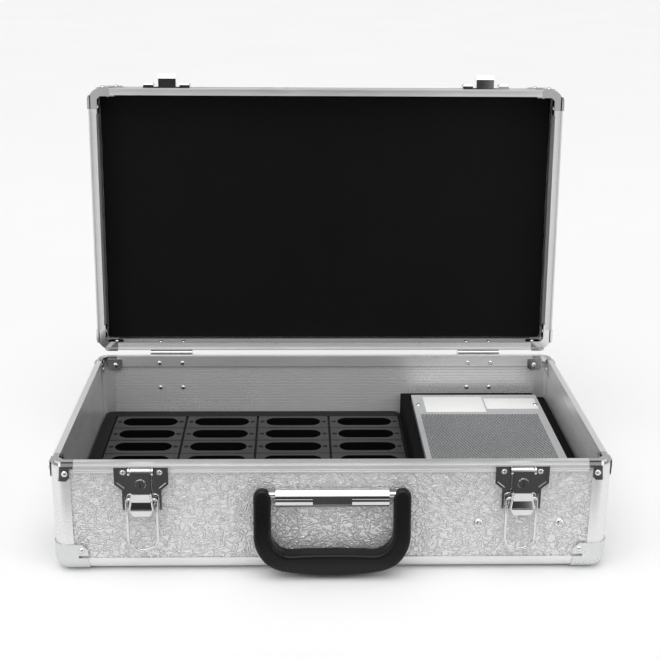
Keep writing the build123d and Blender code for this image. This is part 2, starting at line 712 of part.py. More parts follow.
def bail_inner(across, centre):
    """Where the bent-in end of the bail stops inside the lever."""
    return centre + across * (LEVER_FLARE_WIDTH / 2 - 1 - BAIL_END_DEPTH)


def lock_cylinder(side):
    """Key cylinder that turns in the lever, with its keyway."""
    centre = latch_x(side)
    length = LEVER_FRONT - LEVER_BACK + LOCK_PROUD
    middle = FRONT - LEVER_BACK - length / 2
    plug = Pos(centre, middle, LOCK_HEIGHT) * Rot(90, 0, 0) * Cylinder(LOCK_RADIUS, length)
    face = LEVER_FRONT + LOCK_PROUD
    half = KEYHOLE_WIDTH / 2
    tall = KEYHOLE_LENGTH / 2
    plug -= front_block(
        (centre - half, centre + half), (face - KEYHOLE_DEPTH, face + 1), (LOCK_HEIGHT - tall, LOCK_HEIGHT + tall)
    )
    return tidy(plug)


def bail(side):
    """Wire loop that hangs from the lever and hooks over the lid's catch."""
    centre = latch_x(side)
    half = BAIL_WIDTH / 2
    y = FRONT - BAIL_PIVOT_OUT
    turn = BAIL_BOTTOM + BAIL_WIRE_RADIUS + half
    top = BAIL_PIVOT_HEIGHT
    ends = [bail_inner(across, centre) for across in (-1, 1)]
    left = centre - half
    right = centre + half
    bend = BAIL_BEND
    slack = bend * (1 - math.sqrt(0.5))
    path = Line((ends[0], y, top), (left + bend, y, top))
    path += ThreePointArc((left + bend, y, top), (left + slack, y, top - slack), (left, y, top - bend))
    path += Line((left, y, top - bend), (left, y, turn))
    path += ThreePointArc((left, y, turn), (centre, y, turn - half), (right, y, turn))
    path += Line((right, y, turn), (right, y, top - bend))
    path += ThreePointArc((right, y, top - bend), (right - slack, y, top - slack), (right - bend, y, top))
    path += Line((right - bend, y, top), (ends[1], y, top))
    section = Plane((ends[0], y, top), z_dir=(-1, 0, 0)) * RegularPolygon(BAIL_WIRE_RADIUS, BAIL_WIRE_SIDES)
    return tidy(sweep(section, path=path))


def latch_rivets(side):
    centre = latch_x(side)
    heads = []
    for across in (-1, 1):
        x = centre + across * LATCH_RIVET_SPACING / 2
        heads.append(rivet((x, FRONT - LATCH_PLATE, LATCH_RIVET_HEIGHT), (0, -1, 0), 2.6, 1.6))
    return heads


def lid_catch(side):
    """Catch on the front of the lid, drawn closed: a plate with end bosses and a hook with a wire groove."""
    centre = latch_x(side)
    half = CATCH_WIDTH / 2
    plate = front_block((centre - half, centre + half), (0, LATCH_PLATE), (CATCH_LOW, CATCH_HIGH))
    plate += front_block((centre - half, centre + half), (-PANEL_OUT, 0), (ABOVE_LID_RIM, CATCH_HIGH))
    for across in (-1, 1):
        outer = centre + across * half
        inner = outer - across * CATCH_BOSS_WIDTH
        span = (min(outer, inner), max(outer, inner))
        boss = front_block(span, (0, CATCH_BOSS), (CATCH_LOW + 3, CATCH_HIGH - 3))
        boss = chamfer(boss.faces().sort_by(Axis.Y)[0].edges(), 1.5)
        plate += boss
    wire_level = BAIL_PIVOT_HEIGHT + BAIL_LENGTH
    floor = wire_level - BAIL_WIRE_RADIUS - 0.1
    top = wire_level + HOOK_TOP_ABOVE_WIRE
    low = floor - HOOK_FLOOR
    outline = Polyline(
        (0, low),
        (HOOK_REACH - 4, low),
        (HOOK_REACH, low + 4),
        (HOOK_REACH, top - 1.5),
        (HOOK_REACH - 1.5, top),
        (0, top),
        (0, low),
    )
    face = Plane((centre - HOOK_WIDTH / 2, FRONT, 0), x_dir=(0, -1, 0), z_dir=(-1, 0, 0))
    hook = extrude(face * make_face(outline), -HOOK_WIDTH)
    groove = (BAIL_PIVOT_OUT - HOOK_GROOVE_WIDTH / 2, BAIL_PIVOT_OUT + HOOK_GROOVE_WIDTH / 2)
    hook -= front_block((centre - HOOK_WIDTH, centre + HOOK_WIDTH), groove, (floor, top + 1))
    return tidy(plate + hook)


# Handle

def handle_bracket():
    """Arched bracket on the front face, with a shallow bare recess and a bore at each end."""
    half = BRACKET_LENGTH / 2
    middle = (BRACKET_LOW + BRACKET_HIGH) / 2
    arch = Polyline((-PANEL_OUT, BRACKET_LOW), (1.0, BRACKET_LOW))
    arch += ThreePointArc((1.0, BRACKET_LOW), (BRACKET_OUT, middle), (1.0, BRACKET_HIGH))
    arch += Polyline((1.0, BRACKET_HIGH), (-PANEL_OUT, BRACKET_HIGH), (-PANEL_OUT, BRACKET_LOW))
    face = Plane((-half, FRONT, 0), x_dir=(0, -1, 0), z_dir=(-1, 0, 0))
    bracket = extrude(face * make_face(arch), -BRACKET_LENGTH)
    long, tall, deep = BRACKET_RECESS
    recess_depth = (BRACKET_OUT - deep, BRACKET_OUT + 2)
    bracket -= front_block((-long / 2, long / 2), recess_depth, (middle - tall / 2, middle + tall / 2))
    for across in (-1, 1):
        inner = across * (half - HANDLE_PIN_DEPTH)
        outer = across * (half + 1)
        hole = (min(inner, outer), max(inner, outer))
        bracket -= x_rod(HANDLE_PIN_RADIUS, hole, FRONT - HANDLE_PIVOT_OUT, HANDLE_PIVOT_HEIGHT)
    return tidy(bracket)


def handle_pins():
    pins = []
    for across in (-1, 1):
        inner = across * (BRACKET_LENGTH / 2 - HANDLE_PIN_DEPTH)
        outer = across * (GRIP_OPENING / 2 + 8)
        span = (min(inner, outer), max(inner, outer))
        pins.append(x_rod(HANDLE_PIN_RADIUS, span, FRONT - HANDLE_PIVOT_OUT, HANDLE_PIVOT_HEIGHT))
    return pins


def handle_grip():
    """Moulded grip: a wide U whose bar swells outwards and whose inner edge waves to fit the fingers."""
    half = GRIP_WIDTH / 2
    inner = GRIP_OPENING / 2
    wave = GRIP_BAR_TOP + GRIP_BAR_WAVE
    round_top = (half - inner) / 2
    arm_top = GRIP_TOP - round_top
    outline = Line((-inner, arm_top), (-inner, GRIP_BEND))
    outline += ThreePointArc((-inner, GRIP_BEND), (-inner + 4, GRIP_BEND - 11), (-inner + 14, GRIP_BAR_TOP + 2))
    outline += ThreePointArc((-inner + 14, GRIP_BAR_TOP + 2), (0, wave), (inner - 14, GRIP_BAR_TOP + 2))
    outline += ThreePointArc((inner - 14, GRIP_BAR_TOP + 2), (inner - 4, GRIP_BEND - 11), (inner, GRIP_BEND))
    outline += Line((inner, GRIP_BEND), (inner, arm_top))
    outline += ThreePointArc((inner, arm_top), (inner + round_top, GRIP_TOP), (half, arm_top))
    outline += Line((half, arm_top), (half, GRIP_BEND))
    outline += ThreePointArc((half, GRIP_BEND), (half - 6, GRIP_BEND - 20), (half - 22, GRIP_BOTTOM + 5))
    outline += ThreePointArc((half - 22, GRIP_BOTTOM + 5), (0, GRIP_BOTTOM), (22 - half, GRIP_BOTTOM + 5))
    outline += ThreePointArc((22 - half, GRIP_BOTTOM + 5), (6 - half, GRIP_BEND - 20), (-half, GRIP_BEND))
    outline += Line((-half, GRIP_BEND), (-half, arm_top))
    outline += ThreePointArc((-half, arm_top), (-inner - round_top, GRIP_TOP), (-inner, arm_top))
    face = Plane((0, FRONT, 0), x_dir=(1, 0, 0), z_dir=(0, -1, 0))
    grip = extrude(face * make_face(outline), GRIP_BAR_DEPTH + 5)
    near = GRIP_BACK
    heel = math.sqrt(GRIP_HEEL ** 2 - (HANDLE_PIVOT_OUT - near) ** 2)
    slant = GRIP_HEEL * math.sqrt(0.5)
    profile = Line((near, 0), (near, HANDLE_PIVOT_HEIGHT + heel))
    profile += ThreePointArc(
        (near, HANDLE_PIVOT_HEIGHT + heel),
        (HANDLE_PIVOT_OUT - slant, HANDLE_PIVOT_HEIGHT + slant),
        (HANDLE_PIVOT_OUT, GRIP_TOP),
    )
    profile += Polyline(
        (HANDLE_PIVOT_OUT, GRIP_TOP),
        (GRIP_ARM_DEPTH - 3, GRIP_TOP),
        (GRIP_ARM_DEPTH, GRIP_TOP - 20),
        (GRIP_BAR_DEPTH, GRIP_BOTTOM + 12),
        (GRIP_BAR_DEPTH - 3, 0),
        (near, 0),
    )
    side = Plane((-half - 1, FRONT, 0), x_dir=(0, -1, 0), z_dir=(-1, 0, 0))
    grip &= extrude(side * make_face(profile), -GRIP_WIDTH - 2)
    grip = tidy(grip)
    front_faces = [face for face in grip.faces() if face.normal_at(face.center()).Y < -0.7]
    shared = [edge for face in front_faces for edge in face.edges()]
    outline_edges = [edge for edge in shared if sum(edge == other for other in shared) == 1]
    grip = chamfer(outline_edges + grip.faces().sort_by(Axis.Y)[-1].edges(), GRIP_EDGE)
    for across in (-1, 1):
        start = across * (inner - 1)
        end = across * (inner + 8.2)
        bore = HANDLE_PIN_RADIUS + RUNNING_CLEARANCE
        grip -= x_rod(bore, (min(start, end), max(start, end)), FRONT - HANDLE_PIVOT_OUT, HANDLE_PIVOT_HEIGHT)
    return tidy(grip)


def front_screws():
    """Two domed cross-head screws at the right of the front, on the panel."""
    heads = []
    for x in FRONT_SCREWS_X:
        point = (x, FRONT + PANEL_OUT, FRONT_SCREW_HEIGHT)
        heads.append(rivet(point, (0, -1, 0), FRONT_SCREW_RADIUS, FRONT_SCREW_HEAD))
    return heads


# Tray and charging bays

def bay_centres():
    for row in range(BAY_ROWS):
        for column in range(BAY_COLUMNS):
            yield BAY_FIRST_X + column * BAY_PITCH_X, BAY_FIRST_Y - row * BAY_PITCH_Y


def tray_plate():
    """Plate over the left of the case, with a window for each bay and a raised border."""
    left = -CASE_LENGTH / 2 + WALL + TRAY_GAP
    low = FRONT + WALL + TRAY_GAP
    length = TRAY_RIGHT - left
    width = -2 * low
    bottom = TRAY_TOP - BAY_PLATE[2] - TRAY_THICKNESS
    outline = Pos((left + TRAY_RIGHT) / 2, 0) * RectangleRounded(length, width, TRAY_CORNER)
    tray = Pos(0, 0, bottom) * extrude(outline, TRAY_THICKNESS)
    field_x = BAY_FIRST_X + (BAY_COLUMNS - 1) * BAY_PITCH_X / 2
    field_y = BAY_FIRST_Y - (BAY_ROWS - 1) * BAY_PITCH_Y / 2
    field = Pos(field_x, field_y) * Rectangle(
        BAY_COLUMNS * BAY_PITCH_X + 1.5, BAY_ROWS * BAY_PITCH_Y + 1.5
    )
    tray += Pos(0, 0, bottom) * extrude(outline - field, TRAY_THICKNESS + BAY_PLATE[2] - 0.6)
    for x, y in bay_centres():
        window = (BAY_TUBE[0] + 2 * TUBE_CLEARANCE, BAY_TUBE[1] + 2 * TUBE_CLEARANCE)
        tray -= Pos(x, y, bottom) * Box(window[0], window[1], 4 * TRAY_THICKNESS)
    return tidy(tray)


def bay_sockets():
    """One socket for each bay: a cover plate on the tray and a tube below it, round a long slot."""
    plate = Pos(0, 0, TRAY_TOP - BAY_PLATE[2] / 2) * Box(*BAY_PLATE)
    depth = TRAY_TOP - BAY_PLATE[2] - BAY_TUBE_BOTTOM
    socket = plate + Pos(0, 0, BAY_TUBE_BOTTOM + depth / 2) * Box(*BAY_TUBE, depth)
    outline = Rectangle(*BAY_SLOT)
    slot = extrude(chamfer(outline.vertices(), BAY_SLOT_CORNER), TRAY_TOP + 1)
    socket = tidy(socket - slot)
    return [Pos(x, y, 0) * socket for x, y in bay_centres()]


def contact_boards():
    """One board under each row of bays, with a pair of contacts for each bay."""
    boards = []
    top = BAY_TUBE_BOTTOM
    first = BAY_FIRST_X - BAY_PLATE[0] / 2
    last = BAY_FIRST_X + (BAY_COLUMNS - 1) * BAY_PITCH_X + BAY_PLATE[0] / 2
    for row in range(BAY_ROWS):
        y = BAY_FIRST_Y - row * BAY_PITCH_Y
        board = block((first, y - BOARD_WIDTH / 2, top - BOARD_THICKNESS), (last, y + BOARD_WIDTH / 2, top))
        for column in range(BAY_COLUMNS):
            for across in (-1, 1):
                x = BAY_FIRST_X + column * BAY_PITCH_X + across * CONTACT_SPACING / 2
                board += Pos(x, y, top + CONTACT_SIZE[2] / 2) * Box(*CONTACT_SIZE)
        boards.append(tidy(board))
    return boards


def board_standoffs():
    """Bars that carry the contact boards above the bottom panel, one under each end of the rows."""
    bars = []
    low = FLOOR_TOP
    high = BAY_TUBE_BOTTOM - BOARD_THICKNESS
    y_low = BAY_FIRST_Y - (BAY_ROWS - 1) * BAY_PITCH_Y - BOARD_WIDTH / 2
    y_high = BAY_FIRST_Y + BOARD_WIDTH / 2
    for column in range(BAY_COLUMNS + 1):
        x = BAY_FIRST_X + (column - 0.5) * BAY_PITCH_X
        bars.append(block((x - STANDOFF_RADIUS, y_low, low), (x + STANDOFF_RADIUS, y_high, high)))
    return bars


def tray_rails():
    """Battens along the front, the back and the power supply's side that carry the tray."""
    bottom = CAP_THICKNESS + WALL
    top = TRAY_TOP - BAY_PLATE[2] - TRAY_THICKNESS
    left = -CASE_LENGTH / 2 + POST_ARM + 1
    wall = BACK - WALL - FIT_GAP
    front_left = left + 40
    rails = [
        block((left, wall - RAIL_WIDTH, bottom), (TRAY_RIGHT - 1, wall, top)),
        block((front_left, -wall, bottom), (TRAY_RIGHT - 1, RAIL_WIDTH - wall, top)),
    ]
    return rails


# Power supply

def supply_spans():
    x = (SUPPLY_X - SUPPLY_WIDTH / 2, SUPPLY_X + SUPPLY_WIDTH / 2)
    y = (SUPPLY_BACK - SUPPLY_LENGTH, SUPPLY_BACK)
    z = (SUPPLY_TOP - SUPPLY_HEIGHT, SUPPLY_TOP)
    return x, y, z


def supply_chassis():
    """Folded tray of sheet metal: a floor and two long sides with turned-in top flanges."""
    x, y, z = supply_spans()
    outside = block((x[0], y[0], z[0]), (x[1], y[1], z[1] - SHEET))
    inside = block((x[0] + SHEET, y[0] - 1, z[0] + SHEET), (x[1] - SHEET, y[1] + 1, z[1]))
    chassis = outside - inside
    flange = 6.0
    for across, edge in ((1, x[0]), (-1, x[1])):
        ends = sorted((edge, edge + across * flange))
        chassis += block((ends[0], y[0], z[1] - 2 * SHEET), (ends[1], y[1], z[1] - SHEET))
    return tidy(chassis)


def supply_cover():
    """Cover with turned-down ends, shorter than the chassis where the terminals are."""
    x, y, z = supply_spans()
    start = y[1] - COVER_LENGTH
    cover = block((x[0], start, z[1] - SHEET), (x[1], y[1], z[1]))
    inner = (x[0] + SHEET + FIT_GAP, x[1] - SHEET - FIT_GAP)
    drop = z[0] + SHEET + FIT_GAP
    slope = 2 * SHEET + 0.3
    cover += block((x[0] + 8, y[1] - SHEET, z[1] - slope), (x[1] - 8, y[1], z[1]))
    cover += block((inner[0], y[1] - SHEET, drop), (inner[1], y[1], z[1] - slope))
    cover += block((x[0] + 8, start, z[1] - 20), (x[1] - 8, start + SHEET, z[1]))
    return tidy(cover)


def supply_board():
    """Circuit board with its transformer, heat sinks and capacitors."""
    x, y, z = supply_spans()
    low = z[0] + SHEET
    board = block((x[0] + 4, y[0] + 3, low + 3), (x[1] - 4, y[1] - 4, low + 5))
    for corner_x in (x[0] + 8, x[1] - 8):
        for corner_y in (y[0] + 8, y[1] - 9):
            board += Pos(corner_x, corner_y, low + 2) * Box(6, 6, 4)
    top = low + 5
    board += block((x[0] + 38, y[0] + 90, top), (x[0] + 80, y[0] + 132, top + 32))
    board += block((x[0] + 12, y[0] + 50, top), (x[0] + 16, y[1] - 40, top + 34))
    board += block((x[1] - 16, y[0] + 50, top), (x[1] - 12, y[1] - 40, top + 34))
    for shift in (0, 30):
        board += Pos(SUPPLY_X - 12 + shift, y[1] - 40, top + 15) * Cylinder(11, 30)
    return tidy(board)


def terminal_block():
    """Row of screw terminals at the front end of the power supply."""
    x, y, z = supply_spans()
    length, width, height = TERMINAL_SIZE
    low = z[0] + SHEET + 5
    near = (SUPPLY_X - length / 2, y[0] + 1, low)
    base = block(near, (SUPPLY_X + length / 2, y[0] + 1 + width, low + height))
    pitch = length / TERMINAL_WAYS
    for way in range(TERMINAL_WAYS):
        centre = SUPPLY_X - length / 2 + (way + 0.5) * pitch
        half = pitch * 0.36
        base -= block((centre - half, y[0], low + 8), (centre + half, y[0] + 12, low + height + 1))
    return tidy(base)


def supply_screws():
    """Screws of the cover near its back corners and on the flanges."""
    x, y, z = supply_spans()
    heads = []
    for screw_x in (x[0] + 5, x[1] - 5):
        for screw_y in (y[1] - 26, y[1] - COVER_LENGTH + 12):
            heads.append(rivet((screw_x, screw_y, z[1]), (0, 0, 1), SUPPLY_SCREW_RADIUS, SUPPLY_SCREW_HEAD))
    return heads


def supply_rails():
    """Two bars between the bottom panel and the power supply."""
    x, y, z = supply_spans()
    bars = []
    for start in (y[0] + 25, y[1] - 45):
        bars.append(block((x[0] + 6, start, FLOOR_TOP), (x[1] - 6, start + 20, z[0])))
    return bars


def foam_surround():
    """Foam that fills the right of the case round the power supply."""
    x, y, z = supply_spans()
    wall_x = CASE_LENGTH / 2 - WALL - FOAM_GAP
    wall_y = BACK - WALL - FOAM_GAP
    low = CAP_THICKNESS + EDGE_ARM + FOAM_GAP
    foam = block((TRAY_RIGHT + FOAM_GAP, -wall_y, low), (wall_x, wall_y, FOAM_TOP))
    foam -= block(
        (x[0] - FOAM_GAP, y[0] - FOAM_GAP, 0), (x[1] + FOAM_GAP, y[1] + FOAM_GAP, SUPPLY_TOP + 1)
    )
    corner = POST_ARM - WALL + FOAM_GAP
    for side in (-1, 1):
        foam -= Pos(wall_x, side * wall_y, FOAM_TOP / 2) * Box(2 * corner, 2 * corner, 2 * FOAM_TOP)
    return tidy(foam)


# Mains inlet in the left side

def inlet_cutout(grow):
    length, height, _ = INLET_BODY
    return Pos(-CASE_LENGTH / 2, INLET_Y, INLET_Z) * Box(4 * WALL, length + 2 * grow, height + 2 * grow)


def inlet():
    """Inlet with a flange on the panel and a socket recess that opens outwards."""
    face = -CASE_LENGTH / 2 + PANEL_OUT
    flange_y, flange_z, flange_x = INLET_FLANGE
    body_y, body_z, body_x = INLET_BODY
    mouth_y, mouth_z, mouth_x = INLET_MOUTH
    shape = Pos(face - flange_x / 2, INLET_Y, INLET_Z) * Box(flange_x, flange_y, flange_z)
    shape += Pos(face - flange_x + body_x / 2, INLET_Y, INLET_Z) * Box(body_x, body_y, body_z)
    shape -= Pos(face - flange_x + mouth_x / 2 - 0.5, INLET_Y, INLET_Z) * Box(mouth_x + 1, mouth_y, mouth_z)
    return tidy(shape)


def inlet_pins():
    """Three flat pins that stand on the floor of the inlet's recess."""
    floor = -CASE_LENGTH / 2 + PANEL_OUT - INLET_FLANGE[2] + INLET_MOUTH[2]
    pin_y, pin_z, pin_x = INLET_PIN
    pins = []
    for number in (-1, 0, 1):
        lift = 2.0 if number == 0 else -2.0
        middle = Pos(floor - pin_x / 2, INLET_Y + number * INLET_PIN_PITCH, INLET_Z + lift)
        pins.append(middle * Box(pin_x, pin_y, pin_z))
    return pins


# Lid

def closed_from_upright(shape):
    """Turn a lid piece drawn with its opening up over onto the base."""
    return Pos(0, 0, LIP_LEVEL + LID_HEIGHT) * Rot(180, 0, 0) * shape


def opened(shape):
    """Swing a closed lid piece open about the hinge."""
    return Pos(0, HINGE_Y, HINGE_Z) * Rot(-LID_OPEN_ANGLE, 0, 0) * Pos(0, -HINGE_Y, -HINGE_Z) * shape


def lid_foam():
    """Foam that fills the lid down to its recess, clear of the corner extrusions."""
    inset = WALL + FOAM_GAP
    low = CAP_THICKNESS + WALL + FOAM_GAP
    high = LID_HEIGHT - LID_FOAM_RECESS
    foam = block(
        (-CASE_LENGTH / 2 + inset, FRONT + inset, low), (CASE_LENGTH / 2 - inset, BACK - inset, high)
    )
    return foam


def save_lid(pieces):
    for name, shapes in pieces.items():
        solids = shapes if isinstance(shapes, list) else [shapes]
        save(name, [opened(closed_from_upright(solid)) for solid in solids])


def main():
    os.makedirs("parts", exist_ok=True)
    base = build_shell("base", BASE_HEIGHT, "tongue")
    base["base_panel_left"] = tidy(base["base_panel_left"] - inlet_cutout(SLOT_CLEARANCE))
    base["base_rivets"] += hinge_rivets(HINGE_Z - HINGE_RIVET_DROP, -1, 2)
    for side in (-1, 1):
        base["base_rivets"] += latch_rivets(side)
    for name, shapes in base.items():
        save(name, shapes)

    lid = build_shell("lid", LID_HEIGHT, "lip")
    sides = [lid.pop(f"lid_panel_{side}") for side in SIDES]
    lid["lid_side_panels"] = sides
    lid["lid_foam"] = lid_foam()
    save_lid(lid)
    save("lid_hinge_rivets", [opened(head) for head in hinge_rivets(HINGE_Z + HINGE_RIVET_DROP, 1, 1)])
    save("lid_catches", [opened(lid_catch(side)) for side in (-1, 1)])
    save("lid_hinge_leaves", [opened(hinge_lid_leaf(side)) for side in (-1, 1)])

    for side, word in ((-1, "left"), (1, "right")):
        save(f"hinge_leaf_{word}", hinge_base_leaf(side))
        save(f"latch_plate_{word}", latch_plate(side))
        save(f"latch_lever_{word}", latch_lever(side))
        save(f"latch_bail_{word}", bail(side))
        save(f"lock_cylinder_{word}", lock_cylinder(side))
    save("hinge_pins", [hinge_pin(side) for side in (-1, 1)])
    save("latch_pins", [latch_pin(side) for side in (-1, 1)])
    save("handle_bracket", handle_bracket())
    save("handle_pins", handle_pins())
    save("handle_grip", handle_grip())
    save("front_screws", front_screws())

    save("tray_plate", tray_plate())
    save("bay_sockets", bay_sockets())
    save("contact_boards", contact_boards())
    save("board_standoffs", board_standoffs())
    save("tray_rails", tray_rails())
    save("supply_chassis", supply_chassis())
    save("supply_cover", supply_cover())
    save("supply_board", supply_board())
    save("supply_terminals", terminal_block())
    save("supply_screws", supply_screws())
    save("supply_rails", supply_rails())
    save("foam_surround", foam_surround())
    save("mains_inlet", inlet())
    save("inlet_pins", inlet_pins())


main()
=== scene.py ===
"""Looks of an aluminium-framed charging case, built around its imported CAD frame."""

import json
import logging
import math
from dataclasses import dataclass, replace
from enum import Enum
from typing import Any, Sequence

import bpy
import numpy as np
from mathutils import Matrix, Vector

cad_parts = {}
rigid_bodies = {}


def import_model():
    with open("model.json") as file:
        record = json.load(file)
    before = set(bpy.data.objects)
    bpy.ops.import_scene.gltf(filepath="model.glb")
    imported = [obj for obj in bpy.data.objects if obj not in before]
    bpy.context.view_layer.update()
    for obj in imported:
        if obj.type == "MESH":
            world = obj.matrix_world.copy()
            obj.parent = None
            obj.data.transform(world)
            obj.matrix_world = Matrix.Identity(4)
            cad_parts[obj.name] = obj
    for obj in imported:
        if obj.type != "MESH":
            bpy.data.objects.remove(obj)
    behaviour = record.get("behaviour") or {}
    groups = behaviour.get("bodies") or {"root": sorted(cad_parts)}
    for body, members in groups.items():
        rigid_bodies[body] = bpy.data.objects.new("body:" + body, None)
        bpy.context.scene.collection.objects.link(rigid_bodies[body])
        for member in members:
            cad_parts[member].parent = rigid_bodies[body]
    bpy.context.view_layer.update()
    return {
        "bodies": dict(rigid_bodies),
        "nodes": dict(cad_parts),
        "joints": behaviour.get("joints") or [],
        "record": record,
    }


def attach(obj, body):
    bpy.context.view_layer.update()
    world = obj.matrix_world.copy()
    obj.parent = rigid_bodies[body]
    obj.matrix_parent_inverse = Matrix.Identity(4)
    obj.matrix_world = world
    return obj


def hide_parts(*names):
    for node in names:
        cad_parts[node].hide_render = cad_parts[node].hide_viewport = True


MM = 0.001
LOG = logging.getLogger("charging_case")

# Just inside the outer faces of the panels, with the lid shut, in metres
SIDE_FACE = 0.2267
FRONT_FACE = 0.1267
BOTTOM_FACE = 0.0045
TOP_FACE = 0.1435

# The lid's hinge line, and how far the frame holds the lid open
HINGE_LINE = Vector((0, 0.1336, 0.1))
LID_OPEN = math.radians(95)

# Points nearer than this are one point, in metres
SAME_POINT = 1e-6


# Finishes


class Pattern(Enum):
    """Relief that a finish carries."""

    SATIN = "fine drawn lines and faint cloudiness"
    STUCCO = "wavy embossed ridges"
    POLISHED = "mirror with faint smudges"
    FOAM = "open cells"
    GRAIN = "moulded leather-like grain"
    SHEET = "rolled sheet metal"
    FIBRE = "wood fibre"


class Graph:
    """Builds the node tree of one material."""

    def __init__(self, name: str) -> None:
        """Start a material with only its output and shader.

        Args:
            name: Name of the material.
        """
        self.material = bpy.data.materials.new(name)
        self.material.use_nodes = True
        self.nodes = self.material.node_tree.nodes
        self.links = self.material.node_tree.links
        self.shader = next(node for node in self.nodes if node.type == "BSDF_PRINCIPLED")

    def add(self, kind: str, sockets: dict[str, Any] | None = None, **settings: Any) -> Any:
        """Add a node and fill its inputs.

        Args:
            kind: Node type without its ShaderNode prefix.
            sockets: Input name or number to a value or to a socket to link.
            settings: Attributes of the node.

        Returns:
            The node's first output.
        """
        node = self.nodes.new("ShaderNode" + kind)
        for key, value in settings.items():
            setattr(node, key, value)
        for key, value in (sockets or {}).items():
            self.feed(node.inputs[key], value)
        return node.outputs[0]

    def feed(self, socket: Any, value: Any) -> None:
        """Link a socket to an input, or set the input's value.

        Args:
            socket: The input.
            value: A socket, a number or a tuple.
        """
        if isinstance(value, bpy.types.NodeSocket):
            self.links.new(value, socket)
        else:
            socket.default_value = value

    def object_point(self, stretch: Sequence[float] = (1, 1, 1)) -> Any:
        """Object coordinates, stretched along each axis.

        Args:
            stretch: Factor along X, Y and Z.

        Returns:
            A vector output.
        """
        point = self.nodes.new("ShaderNodeTexCoord").outputs["Object"]
        return self.add("Mapping", {"Vector": point, "Scale": tuple(stretch)})

    def noise(self, point: Any, scale: float, detail: float = 3.0, distortion: float = 0.0) -> Any:
        """A noise texture's value.

        Args:
            point: Vector to read the noise at.
            scale: Cells to a metre.
            detail: Octaves.
            distortion: How much the noise bends itself.

        Returns:
            A value output between 0 and 1.
        """
        sockets = {"Vector": point, "Scale": scale, "Detail": detail, "Distortion": distortion}
        return self.add("TexNoise", sockets)

    def math(self, operation: str, first: Any, second: Any = 0.0) -> Any:
        """One sum of a Math node.

        Args:
            operation: Name of the operation.
            first: First operand.
            second: Second operand.

        Returns:
            A value output.
        """
        return self.add("Math", {0: first, 1: second}, operation=operation)

    def spread(self, value: Any, low: float, high: float, start: float = 0.0, end: float = 1.0) -> Any:
        """Map a value from one span to another.

        Args:
            value: Value to map.
            low: Result at start.
            high: Result at end.
            start: Value that gives low.
            end: Value that gives high.

        Returns:
            A value output.
        """
        sockets = {"Value": value, "From Min": start, "From Max": end, "To Min": low, "To Max": high}
        return self.add("MapRange", sockets)

    def tint(self, value: Any, dark: Any, light: Any) -> Any:
        """Blend two colours by a value.

        Args:
            value: Value between 0 and 1.
            dark: Colour or colour socket at 0.
            light: Colour or colour socket at 1.

        Returns:
            A colour output.
        """
        node = self.nodes.new("ShaderNodeMix")
        node.data_type = "RGBA"
        self.feed(node.inputs[0], value)
        for socket, colour in ((node.inputs[6], dark), (node.inputs[7], light)):
            self.feed(socket, colour if isinstance(colour, bpy.types.NodeSocket) else (*colour, 1))
        return node.outputs[2]

    def bump(self, height: Any, distance: float, strength: float = 1.0, normal: Any = None) -> Any:
        """Turn a height into a normal.

        Args:
            height: Height between 0 and 1.
            distance: Depth of the relief in metres.
            strength: Share of the relief that shows.
            normal: Normal that this relief lies on.

        Returns:
            A normal output.
        """
        sockets = {"Height": height, "Distance": distance, "Strength": strength}
        if normal is not None:
            sockets["Normal"] = normal
        return self.add("Bump", sockets)


